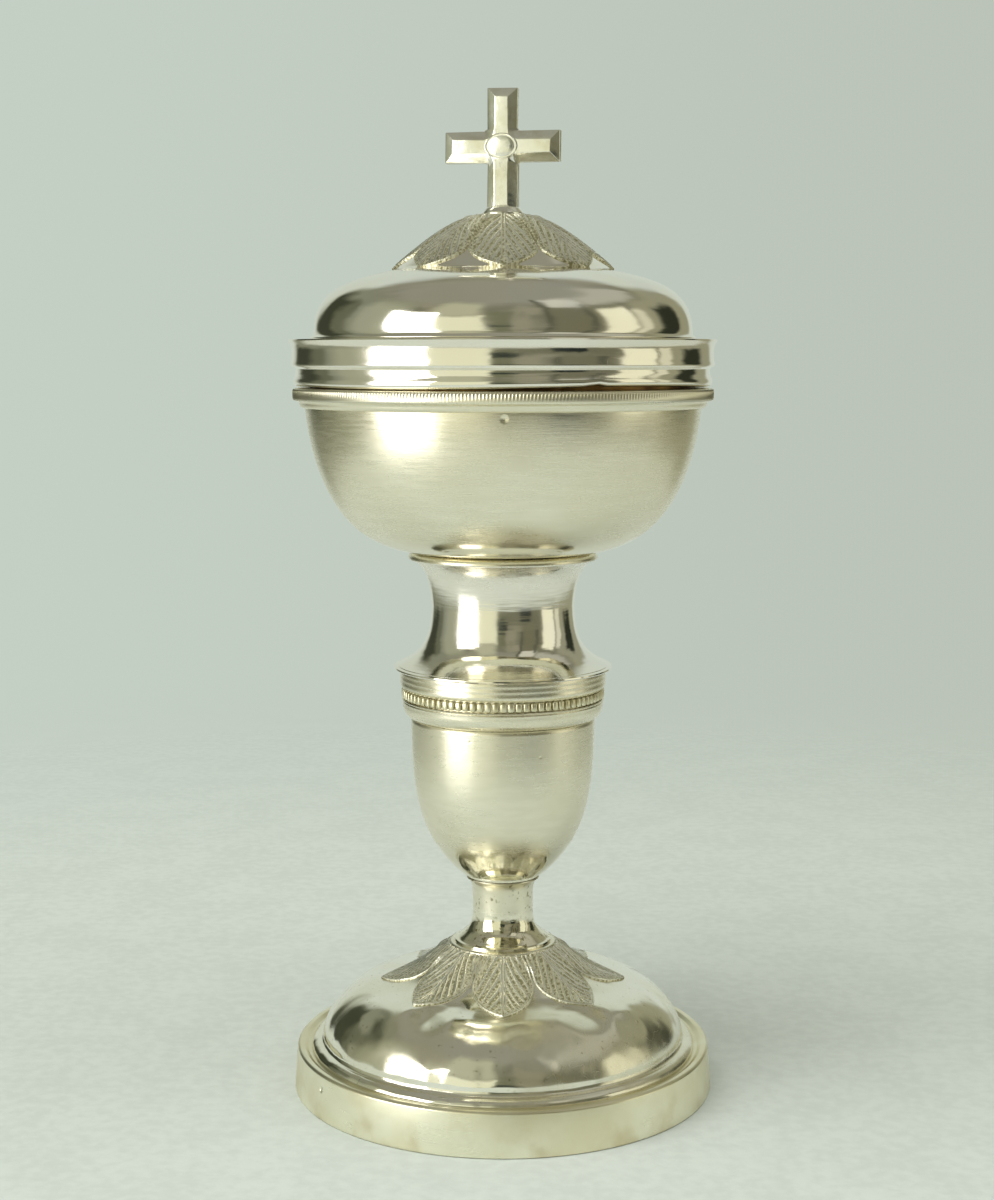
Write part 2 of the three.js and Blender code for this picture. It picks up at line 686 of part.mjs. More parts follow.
// The cross is cast with bevelled bars, a round boss where they meet and a tenon below.
function crossFinial() {
  const half = CROSS_BAR / 2 - CROSS_BEVEL;
  const arm = CROSS_SPAN / 2 - CROSS_BEVEL;
  const [low, high] = [CROSS_ARM_HEIGHT - half, CROSS_ARM_HEIGHT + half];
  const [foot, head] = [CROSS_BEVEL, CROSS_HEIGHT - CROSS_BEVEL];
  const outline = new THREE.Shape([
    [-half, foot], [half, foot], [half, low], [arm, low], [arm, high], [half, high],
    [half, head], [-half, head], [-half, high], [-arm, high], [-arm, low], [-half, low],
  ].map(([across, up]) => new THREE.Vector2(across, up)));
  const bars = new THREE.ExtrudeGeometry(outline, {
    depth: CROSS_EDGE,
    bevelEnabled: true,
    bevelSegments: 1,
    bevelSize: CROSS_BEVEL,
    bevelThickness: (CROSS_THICKNESS - CROSS_EDGE) / 2,
  }).translate(0, 0, -CROSS_EDGE / 2).rotateX(Math.PI / 2);
  const bossReach = CROSS_THICKNESS / 2 + CROSS_BOSS_RISE;
  const boss = new THREE.CylinderGeometry(CROSS_BOSS_RADIUS, CROSS_BOSS_RADIUS, bossReach, SMALL_SIDES);
  boss.translate(0, -bossReach / 2, CROSS_ARM_HEIGHT);
  const tenonLength = crossBase - tenonBase + CROSS_BEVEL;
  const tenon = new THREE.CylinderGeometry(TENON_RADIUS, TENON_RADIUS, tenonLength, SMALL_SIDES);
  tenon.rotateX(Math.PI / 2).translate(0, 0, CROSS_BEVEL - tenonLength / 2);
  return joined(bars, boss, tenon);
}

// Where a turned surface lies at a radius, moved outwards by a distance
function onSurface(profile, radius, distance) {
  const index = profile.findIndex((point, i) => i > 0 && point[0] <= radius && profile[i - 1][0] > radius);
  const [from, to] = [profile[index - 1], profile[index]];
  const share = (radius - from[0]) / (to[0] - from[0]);
  const [across, up] = unit(to[0] - from[0], to[1] - from[1]);
  return [radius + up * distance, from[1] + (to[1] - from[1]) * share - across * distance];
}

// A ring of pointed leaves laid on a turned surface, joined to one another near the axis
function leafRosette(surface, { root, notch, tip }) {
  const stepsToVein = 4;
  const around = LEAF_COUNT * 2 * stepsToVein;
  const outward = 4;
  const sectionAt = (step) => {
    const fromVein = Math.abs(((step / stepsToVein) % 2) - 1);
    const edge = tip - (tip - notch) * (1 - Math.sqrt(1 - fromVein));
    const thickness = LEAF_THICKNESS + (fromVein < 0.01 ? LEAF_VEIN : 0);
    const radii = Array.from({ length: outward + 1 }, (_, k) => root + ((edge - root) * k) / outward);
    const under = radii.map((radius) => onSurface(surface, radius, SEAM));
    const over = radii.map((radius) => onSurface(surface, radius, SEAM + thickness));
    return [...under, ...over.reverse()];
  };
  const positions = [];
  const at = (step, corner, section) => {
    const angle = (step / around) * 2 * Math.PI - Math.PI / 2 - Math.PI / LEAF_COUNT;
    const [radius, height] = section[corner % section.length];
    return [radius * Math.cos(angle), radius * Math.sin(angle), height];
  };
  for (let step = 0; step < around; step += 1) {
    const here = sectionAt(step);
    const next = sectionAt(step + 1);
    for (let corner = 0; corner < here.length; corner += 1) {
      const a = at(step, corner, here);
      const b = at(step + 1, corner, next);
      const c = at(step + 1, corner + 1, next);
      const d = at(step, corner + 1, here);
      positions.push(...a, ...b, ...c, ...a, ...c, ...d);
    }
  }
  const geometry = new THREE.BufferGeometry();
  geometry.setAttribute('position', new THREE.Float32BufferAttribute(positions, 3));
  return geometry;
}

// The four units, each a group at the height of its own lowest face

function footUnit() {
  const group = new THREE.Group();
  const leaves = { root: FOOT_LEAF_ROOT_RADIUS, notch: FOOT_LEAF_NOTCH_RADIUS, tip: FOOT_LEAF_RADIUS };
  const footNut = hexNut(FOOT_NUT_WIDTH, FOOT_NUT_HEIGHT, ROD_RADIUS + SEAM);
  const footWasher = plainRing(neckBore, FOOT_WASHER_RADIUS, FOOT_WASHER_THICKNESS, SMALL_SIDES);
  group.add(
    piece('foot_plinth_ring', plinthRing(), satinSilver),
    piece('foot_dome', footDome(), polishedSilver, footDomeBase),
    piece('foot_leaf_rosette', leafRosette(footDomeOutside(), leaves), mattedSilver, footDomeBase),
    piece('stem_neck', stemNeck(), polishedSilver, neckBase),
    piece('stem_screw', stemScrew(), satinSilver, rodBase),
    piece('foot_washer', footWasher, satinSilver, footWasherBase),
    piece('foot_nut', footNut, satinSilver, footNutBase),
  );
  return group;
}

function stockUnit() {
  const group = new THREE.Group();
  group.position.z = stockBase;
  group.add(
    piece('oil_stock_body', stockBody(), satinSilver),
    piece('stock_base_socket', stockSocket(), satinSilver),
    piece('stock_thread_collar', stockThreadCollar(), satinSilver, STOCK_HEIGHT - COLLAR_SKIRT),
  );
  return group;
}

function cupUnit() {
  const group = new THREE.Group();
  group.position.z = sleeveBase;
  const bulkhead = disc(sleeveBore - SEAM, BULKHEAD_THICKNESS);
  group.add(
    piece('collar_sleeve', collarSleeve(), satinSilver),
    piece('bead_ring', beadRing(), satinSilver, PLAIN_BAND_HEIGHT + SEAM),
    piece('sleeve_thread_ring', sleeveThreadRing(), satinSilver),
    piece('sleeve_bulkhead', bulkhead, satinSilver, bulkheadBase),
    piece('spool_stem', spoolStem(), polishedSilver, spoolBase),
    piece('spool_seat_ring', seatRing(), polishedSilver, seatRingBase),
    piece('cup_bowl', cupBowl(), satinSilver, cupBase),
    piece('cup_rim_wire', rimWire(), satinSilver, cupBase + CUP_HEIGHT - RIM_WIRE_HEIGHT),
  );
  return group;
}

function lidUnit() {
  const group = new THREE.Group();
  group.position.z = lidBase;
  const leaves = { root: LID_LEAF_ROOT_RADIUS, notch: LID_LEAF_NOTCH_RADIUS, tip: LID_LEAF_RADIUS };
  const nut = hexNut(FINIAL_NUT_WIDTH, FINIAL_NUT_HEIGHT, TENON_RADIUS + SEAM);
  const washer = plainRing(tenonHole, FINIAL_WASHER_RADIUS, FINIAL_WASHER_THICKNESS, SMALL_SIDES);
  group.add(
    piece('lid_rim_band', lidBand(), polishedSilver),
    piece('lid_bezel', lidBezel(), giltSilver, -BEZEL_REACH),
    piece('lid_dome', lidDome(), polishedSilver, lidDomeBase),
    piece('lid_leaf_rosette', leafRosette(lidDomeOutside(), leaves), mattedSilver, lidDomeBase),
    piece('finial_collar', finialCollar(), satinSilver, finialCollarBase),
    piece('cross_finial', crossFinial(), satinSilver, crossBase),
    piece('finial_washer', washer, satinSilver, finialWasherBase),
    piece('finial_nut', nut, satinSilver, finialNutBase),
  );
  return group;
}

function ciborium() {
  const seal = disc(sealRadius, SEAL_THICKNESS);
  const group = new THREE.Group();
  group.add(
    footUnit(),
    piece('stem_washer', stemWasher(), satinSilver, stemWasherBase),
    stockUnit(),
    piece('stock_seal', seal, tannedLeather, sleeveBase + sealBase),
    cupUnit(),
    lidUnit(),
  );
  return group;
}

export default ciborium();
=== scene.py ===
# %% [markdown]
# # A silver travel ciborium
# A ciborium is a covered cup for the hosts. This one is a traveller's set: the cup screws onto an
# egg-shaped oil stock, which screws onto a domed foot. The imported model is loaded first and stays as
# it is. Finer pieces are then made over it, each riding on the body that it belongs to.

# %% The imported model
import math
import random

import bmesh
import bpy
from mathutils import Matrix, Vector
from mathutils.geometry import interpolate_bezier


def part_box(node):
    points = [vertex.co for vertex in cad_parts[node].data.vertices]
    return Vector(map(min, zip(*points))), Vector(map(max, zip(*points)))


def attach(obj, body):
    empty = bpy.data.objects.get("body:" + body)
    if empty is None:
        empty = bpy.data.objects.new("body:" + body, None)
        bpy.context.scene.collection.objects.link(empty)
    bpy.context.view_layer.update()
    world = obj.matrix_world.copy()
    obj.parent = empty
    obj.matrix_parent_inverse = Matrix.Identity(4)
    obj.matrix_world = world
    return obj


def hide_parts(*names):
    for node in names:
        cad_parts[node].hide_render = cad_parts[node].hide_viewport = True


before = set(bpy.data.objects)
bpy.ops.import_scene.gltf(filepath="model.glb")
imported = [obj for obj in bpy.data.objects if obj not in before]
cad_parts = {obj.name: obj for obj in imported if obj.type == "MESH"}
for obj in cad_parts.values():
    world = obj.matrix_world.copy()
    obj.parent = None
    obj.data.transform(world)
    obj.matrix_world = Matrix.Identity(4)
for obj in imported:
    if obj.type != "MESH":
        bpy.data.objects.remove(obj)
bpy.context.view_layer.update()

# %% [markdown]
# ## The camera
# The photograph looks slightly down on the object from the height of the lid's edge. A 60 mm lens
# on the usual 36 mm sensor gives the same foreshortening, measured on the ellipses of the foot and rim.

# %% The camera
LENS_MM = 60
SENSOR_MM = 36
NEAREST_SEEN = 0.01
CAMERA_PLACE = (-0.00098, -0.327, 0.12186)
CAMERA_TILT = math.radians(82.98)

camera_data = bpy.data.cameras.new("studio_camera")
camera_data.lens = LENS_MM
camera_data.sensor_width = SENSOR_MM
camera_data.clip_start = NEAREST_SEEN
camera = bpy.data.objects.new("studio_camera", camera_data)
camera.location = CAMERA_PLACE
camera.rotation_euler = (CAMERA_TILT, 0, 0)
bpy.context.scene.collection.objects.link(camera)
bpy.context.scene.camera = camera
print("camera", tuple(round(v, 4) for v in camera.location))

# %% [markdown]
# ## Shader maths as sums
# A material is a little sum done at each point of the surface. Wiring Math nodes by hand hides that
# sum, so this class wraps one socket and lets Python's own signs add the nodes. Every other node
# comes from one method, which sets the node's settings first and its sockets after them.


# %% A socket that can be used in a sum
class Flow:
    """One output socket of a shader tree. Signs such as + add Math nodes."""

    def __init__(self, tree, socket=None):
        self.tree = tree
        self.socket = socket

    def node(self, kind, settings=None, values=None, output=0):
        made = self.tree.nodes.new(kind)
        for name, value in (settings or {}).items():
            setattr(made, name, value)
        for name, value in (values or {}).items():
            if isinstance(value, Flow):
                self.tree.links.new(value.socket, made.inputs[name])
            else:
                made.inputs[name].default_value = value
        return Flow(self.tree, made.outputs[output])

    def math(self, operation, *others):
        values = dict(enumerate((self, *others)))
        return self.node("ShaderNodeMath", {"operation": operation}, values)

    def __add__(self, other):
        return self.math("ADD", other)

    __radd__ = __add__

    def __sub__(self, other):
        return self.math("SUBTRACT", other)

    def __rsub__(self, other):
        return (self * -1.0) + other

    def __mul__(self, other):
        return self.math("MULTIPLY", other)

    __rmul__ = __mul__

    def ramp(self, low, high, start=0.0, end=1.0):
        """Goes smoothly from start to end while the value goes from low to high."""
        settings = {"interpolation_type": "SMOOTHSTEP"}
        values = {0: self, 1: low, 2: high, 3: start, 4: end}
        return self.node("ShaderNodeMapRange", settings, values)

    def within(self, low, high, soft):
        """One between low and high, and zero outside, with soft ends."""
        return self.ramp(low - soft, low + soft) * self.ramp(high - soft, high + soft, 1.0, 0.0)

    def blend(self, first, second):
        """Colour mixed by this value, from first at zero to second at one."""
        return self.node("ShaderNodeMix", {"data_type": "RGBA"}, {0: self, 6: first, 7: second}, 2)

    def finish_with(self, kind, socket):
        """Ends the tree in its output node."""
        end = self.tree.nodes.new(kind)
        self.tree.links.new(self.socket, end.inputs[socket])


def colour(red, green, blue):
    """A colour written as a screen shows it, 0 to 255, turned into light by the screen's own curve."""
    def light(value):
        share = value / 255
        return share / 12.92 if share < 0.04045 else ((share + 0.055) / 1.055) ** 2.4
    return (light(red), light(green), light(blue), 1.0)


print("grey 128 as light:", round(colour(128, 128, 128)[0], 3))

# %% [markdown]
# ## The room that the silver mirrors
# Polished silver shows little of itself and much of the room. The reflections tell what stood round
# the object: a pale paper behind and under it, a dim warm room in front, a tall window at the front
# left with a pale wall beside it, two narrow panes at the right, and a dark strip at each end of the
# paper. A world shader paints these in order over the dim room, each by its compass angle from the
# camera and its height over the horizon, both in degrees. A little noise in both angles makes the
# edges uneven. The camera itself sees only plain pale paper, so no side view shows the room.

# %% The room
PAPER_LEFT = colour(197, 208, 197)
PAPER_RIGHT = colour(187, 195, 184)
ROOM_SHADE = colour(118, 118, 100)
ROOM_LIGHT = colour(146, 144, 124)
CEILING = colour(146, 146, 132)
MIRRORED_PAPER = colour(204, 212, 200)
MIRRORED_TABLE = colour(206, 210, 194)
COMPASS_WOBBLE = 9.0
HEIGHT_WOBBLE = 11.0
DEGREES = 180 / math.pi
ROOM = [
    # colour, compass from and to, height from and to, softness
    ((132, 135, 116), (-152, -70), (-90, 48), 7),
    ((160, 163, 140), (-104, -70), (-14, 44), 8),
    ((150, 150, 126), (96, 150), (-90, 40), 6),
    ((232, 233, 204), (-47, -9), (-20, 27), 3),
    ((180, 181, 156), (-47, -12), (27, 56), 6),
    ((112, 114, 92), (-9, 4), (-6, 34), 2),
    ((114, 113, 92), (30, 64), (2, 40), 5),
    ((112, 112, 92), (6, 62), (-14, 3), 3),
    ((40, 46, 42), (26, 47), (-17, -1), 1),
    ((50, 57, 50), (-9, 7), (0, 11), 1),
    ((204, 204, 190), (34, 60), (40, 60), 3),
    ((176, 176, 162), (64, 140), (44, 62), 4),
    ((84, 86, 72), (27, 32), (8, 62), 2),
    ((88, 90, 76), (53, 58), (4, 46), 2),
    ((244, 243, 216), (66, 89), (-12, 34), 2),
    ((216, 215, 190), (92, 101), (-12, 30), 2),
    ((102, 105, 86), (-128, -112), (-8, 34), 4),
    ((62, 66, 52), (-149, -125), (-8, 32), 4),
    ((46, 50, 38), (112, 133), (-6, 26), 4),
]


def direction_of(start):
    """The ray's direction as a compass angle from the camera and a height over the horizon."""
    ray = start.node("ShaderNodeTexCoord", output="Generated")
    right = start.node("ShaderNodeSeparateXYZ", values={0: ray})
    back = Flow(start.tree, right.socket.node.outputs[1])
    up = Flow(start.tree, right.socket.node.outputs[2])
    compass = right.math("ARCTAN2", back * -1.0) * DEGREES
    return right, compass, up.math("ARCSINE") * DEGREES


def light_room(start, compass, height):
    """The colour of the room in every direction."""
    cloudy = start.node("ShaderNodeTexNoise", values={"Scale": 3.2, "Detail": 4.0})
    room = cloudy.ramp(0.38, 0.62).blend(ROOM_SHADE, ROOM_LIGHT)
    room = height.ramp(40, 62).blend(room, CEILING)
    paper = compass.math("ABSOLUTE").ramp(142, 152) * height.ramp(34, 46, 1.0, 0.0)
    room = paper.blend(room, MIRRORED_PAPER)
    for tint, across, upward, soft in ROOM:
        place = compass.within(*across, soft) * height.within(*upward, soft)
        room = place.blend(room, colour(*tint))
    under = height.ramp(-22, -14, 1.0, 0.0)
    return under.blend(room, MIRRORED_TABLE)


world = bpy.data.worlds.new("room")
world.use_nodes = True
world.node_tree.nodes.clear()
air = Flow(world.node_tree)
right_share, compass_angle, height_angle = direction_of(air)
uneven = air.node("ShaderNodeTexNoise", values={"Scale": 5.0, "Detail": 3.0}) - 0.5
compass_angle = compass_angle + uneven * COMPASS_WOBBLE
height_angle = height_angle + uneven * HEIGHT_WOBBLE
plain_paper = right_share.ramp(-0.3, 0.3).blend(PAPER_LEFT, PAPER_RIGHT)
camera_ray = air.node("ShaderNodeLightPath", output="Is Camera Ray")
seen = camera_ray.blend(light_room(air, compass_angle, height_angle), plain_paper)
lit = air.node("ShaderNodeBackground", values={"Color": seen, "Strength": 1.0})
lit.finish_with("ShaderNodeOutputWorld", "Surface")
bpy.context.scene.world = world
print("world nodes:", len(world.node_tree.nodes))

# %% [markdown]
# ## Lamps
# The tall window is an area lamp, because a lamp gives both the bright patch in the silver and a
# shadow on the paper. It is placed by the compass angle at which the lid's upright band mirrors it.
# Two large soft lamps overhead, the stronger at the left, light the paper. The silver doesn't mirror
# these two.

# %% Lamps
LAMPS_FACE = Vector((0, 0, 0.09))
DAYLIGHT = (1.0, 1.0, 0.95)
SKY_TINT = (0.98, 0.99, 1.0)


def window(name, compass, rise, distance, width, height, power, tint):
    """A lamp the size of a window, at a compass angle from the camera, facing the object."""
    data = bpy.data.lights.new(name, "AREA")
    data.shape = "RECTANGLE"
    data.size, data.size_y = width, height
    data.energy = power
    data.color = tint
    made = bpy.data.objects.new(name, data)
    turn, tilt = math.radians(compass), math.radians(rise)
    away = Vector((math.sin(turn) * math.cos(tilt), -math.cos(turn) * math.cos(tilt), math.sin(tilt)))
    made.location = LAMPS_FACE + away * distance
    made.rotation_euler = away.to_track_quat("Z", "Y").to_euler()
    made.visible_camera = False
    bpy.context.scene.collection.objects.link(made)
    return made


# name, compass, rise, distance, width, height, power, tint
window("tall_window", -58, 5, 1.6, 1.0, 1.75, 17.0, DAYLIGHT)
for skylight in (window("left_sky", -50, 62, 1.2, 1.0, 0.9, 9.0, SKY_TINT),
                 window("right_sky", 62, 60, 1.2, 1.0, 0.9, 4.0, SKY_TINT)):
    skylight.visible_glossy = False
print("lamps:", [lamp.name for lamp in bpy.data.lights])

# %% [markdown]
# ## The table
# The object stands on pale paper that curves up behind it. A flat disc that fades into the world's
# plain colour looks the same from every side and has no horizon line. It keeps the soft shadow. From
# below it is clear, so that the underside of the foot shows, and it lies a hair under the foot,
# because two faces in one place fight.

# %% The table
TABLE_FADE_START = 0.12
TABLE_FADE_END = 0.45
TABLE_TOP = -0.00004
PAPER_DEEP = colour(202, 209, 204)
PAPER_PALE = colour(209, 216, 211)


def paper_material():
    made = bpy.data.materials.new("pale_paper")
    made.use_nodes = True
    made.node_tree.nodes.clear()
    start = Flow(made.node_tree)
    place = start.node("ShaderNodeTexCoord", output="Object")
    reach = start.node("ShaderNodeVectorMath", {"operation": "LENGTH"}, {0: place}, "Value")
    fibres = start.node("ShaderNodeTexNoise", values={"Vector": place, "Scale": 420.0, "Detail": 5.0})
    clouds = start.node("ShaderNodeTexNoise", values={"Vector": place, "Scale": 70.0, "Detail": 4.0})
    mottle = (fibres * 0.6 + clouds * 0.4).ramp(0.38, 0.62)
    tint = mottle.blend(PAPER_DEEP, PAPER_PALE)
    relief = start.node("ShaderNodeBump", values={"Height": fibres, "Strength": 0.25, "Distance": 0.0004})
    paper = start.node("ShaderNodeBsdfDiffuse", values={"Color": tint, "Normal": relief})
    clear = start.node("ShaderNodeBsdfTransparent")
    from_below = start.node("ShaderNodeNewGeometry", output="Backfacing")
    fade = reach.ramp(TABLE_FADE_START, TABLE_FADE_END).math("MAXIMUM", from_below)
    start.node("ShaderNodeMixShader", values={0: fade, 1: paper, 2: clear}).finish_with(
        "ShaderNodeOutputMaterial", "Surface")
    return made


table_shape = bmesh.new()
bmesh.ops.create_circle(table_shape, cap_ends=True, segments=96, radius=TABLE_FADE_END)
bmesh.ops.translate(table_shape, verts=table_shape.verts[:], vec=(0, 0, TABLE_TOP))
table_mesh = bpy.data.meshes.new("table_paper")
table_shape.to_mesh(table_mesh)
table_shape.free()
table_mesh.materials.append(paper_material())
table = bpy.data.objects.new("table_paper", table_mesh)
bpy.context.scene.collection.objects.link(table)
print("table radius, m:", TABLE_FADE_END)

# %% [markdown]
# ## Patterns that the finishes share
# The piece has three silvers. Burnished silver mirrors the room, bent a little by the hammer and the
# lathe. Satin silver was rubbed round and round with fine powder, so its hairlines run along the
# turning. Matted silver on the leaves was struck all over with a grained punch. All of them carry the
# same faint warm tarnish, gathered in clouds, and a few thin scratches.

# %% Patterns that the finishes share
MM = 0.001
SCRATCH_WIDTH = 0.006


def streaks(start, round_share, rise_share, detail=2.0):
    """Noise drawn out along the turning. The shares say how fine it is around and upwards."""
    place = start.node("ShaderNodeTexCoord", output="Object")
    flat = start.node("ShaderNodeVectorMath", {"operation": "MULTIPLY"}, {0: place, 1: (1, 1, 0)})
    circle = start.node("ShaderNodeVectorMath", {"operation": "NORMALIZE"}, {0: flat})
    around = start.node("ShaderNodeVectorMath", {"operation": "SCALE"}, {0: circle, "Scale": round_share})
    upward = start.node("ShaderNodeVectorMath", {"operation": "MULTIPLY"}, {0: place, 1: (0, 0, rise_share)})
    both = start.node("ShaderNodeVectorMath", {"operation": "ADD"}, {0: around, 1: upward})
    return start.node("ShaderNodeTexNoise", values={"Vector": both, "Scale": 1.0, "Detail": detail})


def grain(start, scale, detail=2.0):
    """Plain noise on the piece, so many grains to the metre."""
    values = {"Vector": start.node("ShaderNodeTexCoord", output="Object"), "Scale": scale, "Detail": detail}
    return start.node("ShaderNodeTexNoise", values=values)


def scratches(start, scale, lean, stretch):
    """Thin marks where a drawn-out noise crosses its middle value."""
    place = start.node("ShaderNodeTexCoord", output="Object")
    values = {"Vector": place, "Rotation": lean, "Scale": stretch}
    turned_place = start.node("ShaderNodeMapping", values=values)
    lines = start.node("ShaderNodeTexNoise", values={"Vector": turned_place, "Scale": scale, "Detail": 1.0})
    thin = (lines - 0.5).math("ABSOLUTE").ramp(0.0, SCRATCH_WIDTH, 1.0, 0.0)
    return thin * grain(start, scale * 0.4).ramp(0.56, 0.66)


def pit(start, spot, width):
    """A small dent: one at its middle, falling to nothing at its edge. Spot is in millimetres."""
    place = start.node("ShaderNodeTexCoord", output="Object")
    middle = tuple(v * MM for v in spot)
    gap = start.node("ShaderNodeVectorMath", {"operation": "DISTANCE"}, {0: place, 1: middle}, "Value")
    return gap.ramp(0.0, width * MM, 1.0, 0.0)


def stands_out(start):
    """How far a point of the leaves stands out, kept on the mesh as an attribute."""
    return start.node("ShaderNodeAttribute", {"attribute_name": "relief"}, output="Fac")


print("a millimetre in Blender:", MM)


# %% A finish from its parts
def finish(name, tint, rough, relief, metallic=1.0):
    """A metal material. Tint, rough and relief are made from the tree by the functions given."""
    made = bpy.data.materials.new(name)
    made.use_nodes = True
    made.node_tree.nodes.clear()
    start = Flow(made.node_tree)
    bump = start.node("ShaderNodeBump", values={"Height": relief(start), "Strength": 1.0, "Distance": MM})
    values = {"Base Color": tint(start), "Roughness": rough(start), "Metallic": metallic, "Normal": bump}
    shader = start.node("ShaderNodeBsdfPrincipled", values=values)
    shader.finish_with("ShaderNodeOutputMaterial", "Surface")
    print("finish", name, "with", len(made.node_tree.nodes), "nodes")
    return made


# %% [markdown]
# ## Satin silver
# The cup, the oil stock and the plinth were rubbed with powder on the lathe. Light spreads in a soft
# sheen, a little wider where the rubbing went deeper, and a warm tarnish lies in clouds. Deeper
# hairlines draw the light out upwards and downwards, as they do on the cup.

# %% Satin silver, rubbed round the turning
SATIN_FRESH = (0.93, 0.89, 0.74, 1)
SATIN_RUBBED = (0.88, 0.84, 0.69, 1)
SATIN_WARM = (0.83, 0.77, 0.60, 1)
SATIN_HAIRLINE = 0.0035
POWDER_EDGE = 2.2


def satin_tint(start):
    rubbed = streaks(start, 3.0, 900.0).ramp(0.3, 0.7).blend(SATIN_RUBBED, SATIN_FRESH)
    return (grain(start, 55.0, 4.0).ramp(0.38, 0.66) * 0.5).blend(rubbed, SATIN_WARM)


def up_from_table(start):
    """The height of a point over the table, in metres."""
    place = start.node("ShaderNodeTexCoord", output="Object")
    return start.node("ShaderNodeSeparateXYZ", values={0: place}, output=2)


def satin_rough(low, high, bright_below=None):
    """Satin, and nearly a mirror below a height in millimetres, where the powder didn't reach."""
    def rough(start):
        rubbed = streaks(start, 5.0, 2600.0).ramp(0.3, 0.7, low, high)
        rubbed = rubbed + grain(start, 70.0, 3.0).ramp(0.4, 0.7, 0.0, 0.05)
        if bright_below is None:
            return rubbed
        ends = bright_below * MM, (bright_below + POWDER_EDGE) * MM
        return rubbed * up_from_table(start).ramp(*ends, 0.35, 1.0)
    return rough


def satin_relief(pits=(), hairline=SATIN_HAIRLINE):
    """Hairlines, scratches and slow waves. Each pit has a place, a width and a depth in millimetres."""
    def relief(start):
        hairlines = streaks(start, 6.0, 3000.0, 2.0) * hairline
        marks = scratches(start, 60.0, (0.5, 0.9, 0.3), (9, 9, 0.6)) * -0.002
        height = hairlines + marks + grain(start, 90.0, 1.0) * 0.05
        for spot, width, depth in pits:
            height = height + pit(start, spot, width) * -depth
        return height
    return relief


satin_silver = finish("satin_silver", satin_tint, satin_rough(0.22, 0.30), satin_relief())

# %% [markdown]
# ## Burnished silver
# Lid, dome, neck and spool were rubbed to a mirror with a polished stone. The hammer left shallow
# waves, which bend the mirrored room, and handling left smudges and fine scratches. The dome of the
# foot is more worn, and the hammer went deepest at a few places on it.

# %% Burnished silver, with the waves that the hammer left
BURNISHED_CLEAN = (0.94, 0.91, 0.83, 1)
BURNISHED_WARM = (0.86, 0.81, 0.69, 1)
BURNISHED_COOL = (0.84, 0.82, 0.84, 1)


def burnished_tint(start):
    warm = (grain(start, 45.0, 4.0).ramp(0.4, 0.7) * 0.6).blend(BURNISHED_CLEAN, BURNISHED_WARM)
    return (grain(start, 75.0, 2.0).ramp(0.55, 0.75) * 0.5).blend(warm, BURNISHED_COOL)


def burnished_rough(start):
    smudges = grain(start, 60.0, 5.0).ramp(0.42, 0.7, 0.07, 0.17)
    return smudges + scratches(start, 90.0, (0.3, 0.2, 0.8), (5, 0.5, 5)) * 0.12


def burnished_relief(wave, fine=0.004):
    def relief(start):
        waves = grain(start, 85.0, 1.0) * wave
        lathe = streaks(start, 2.0, 1500.0, 1.0) * fine
        return waves + lathe + scratches(start, 70.0, (0.9, 0.1, 0.4), (7, 0.5, 7)) * -0.0015
    return relief


burnished_silver = finish("burnished_silver", burnished_tint, burnished_rough, burnished_relief(0.18))

# %% Hammered silver, for the dome of the foot
FOOT_CLEAN = (0.96, 0.94, 0.86, 1)
FOOT_WARM = (0.88, 0.84, 0.69, 1)
FOOT_SPECK = (0.52, 0.47, 0.32, 1)
# Where the hammer went deepest: place in millimetres, width and depth
FOOT_DENTS = [
    ((13.2, -18.5, 16.9), 5.2, 0.95),
    ((-12.5, -19.5, 16.8), 5.0, 0.90),
    ((3.0, -25.5, 15.3), 3.6, 0.25),
    ((-21.0, -16.5, 14.9), 4.0, 0.30),
    ((20.5, -17.0, 14.7), 4.0, 0.30),
    ((0.0, 23.0, 16.8), 5.5, 0.40),
]


def foot_tint(start):
    """The foot is handled more, and has a warmer tarnish with tiny dark specks."""
    patina = grain(start, 60.0, 5.0).ramp(0.32, 0.66).blend(FOOT_CLEAN, FOOT_WARM)
    return (grain(start, 1500.0, 2.0).ramp(0.66, 0.74) * 0.6).blend(patina, FOOT_SPECK)


def foot_rough(start):
    """Like the rest, but dulled in clouds by hands."""
    return burnished_rough(start) + grain(start, 50.0, 3.0).ramp(0.4, 0.65, 0.02, 0.11)


def foot_relief(start):
    waves = grain(start, 85.0, 1.0) * 0.85 + grain(start, 190.0, 1.0) * 0.30
    waves = waves + grain(start, 900.0, 2.0) * 0.005
    height = waves + streaks(start, 2.0, 1500.0, 1.0) * 0.004
    for spot, width, depth in FOOT_DENTS:
        height = height - pit(start, spot, width) * depth
    return height


hammered_silver = finish("hammered_silver", foot_tint, foot_rough, foot_relief)

# %% [markdown]
# ## Matted silver
# The ground between the veins was struck with a punch that leaves fine grains. It has gone dark in
# its hollows, while rims and veins are rubbed bright. How far a point stands out is kept on the mesh.

# %% Matted silver, struck with a grained punch
MATTED_HOLLOW = (0.50, 0.47, 0.30, 1)
MATTED_GRAIN = (1.0, 0.98, 0.83, 1)
MATTED_STAIN = (0.70, 0.65, 0.45, 1)
MATTED_RUBBED = (1.0, 0.99, 0.90, 1)


def matted_tint(start):
    speckle = grain(start, 2600.0, 1.0).ramp(0.42, 0.58)
    low = speckle.blend(MATTED_HOLLOW, MATTED_GRAIN)
    low = (grain(start, 260.0, 3.0).ramp(0.45, 0.75) * 0.3).blend(low, MATTED_STAIN)
    return stands_out(start).ramp(0.14, 0.5).blend(low, MATTED_RUBBED)


def matted_rough(start):
    return stands_out(start).ramp(0.1, 0.9, 0.50, 0.26)


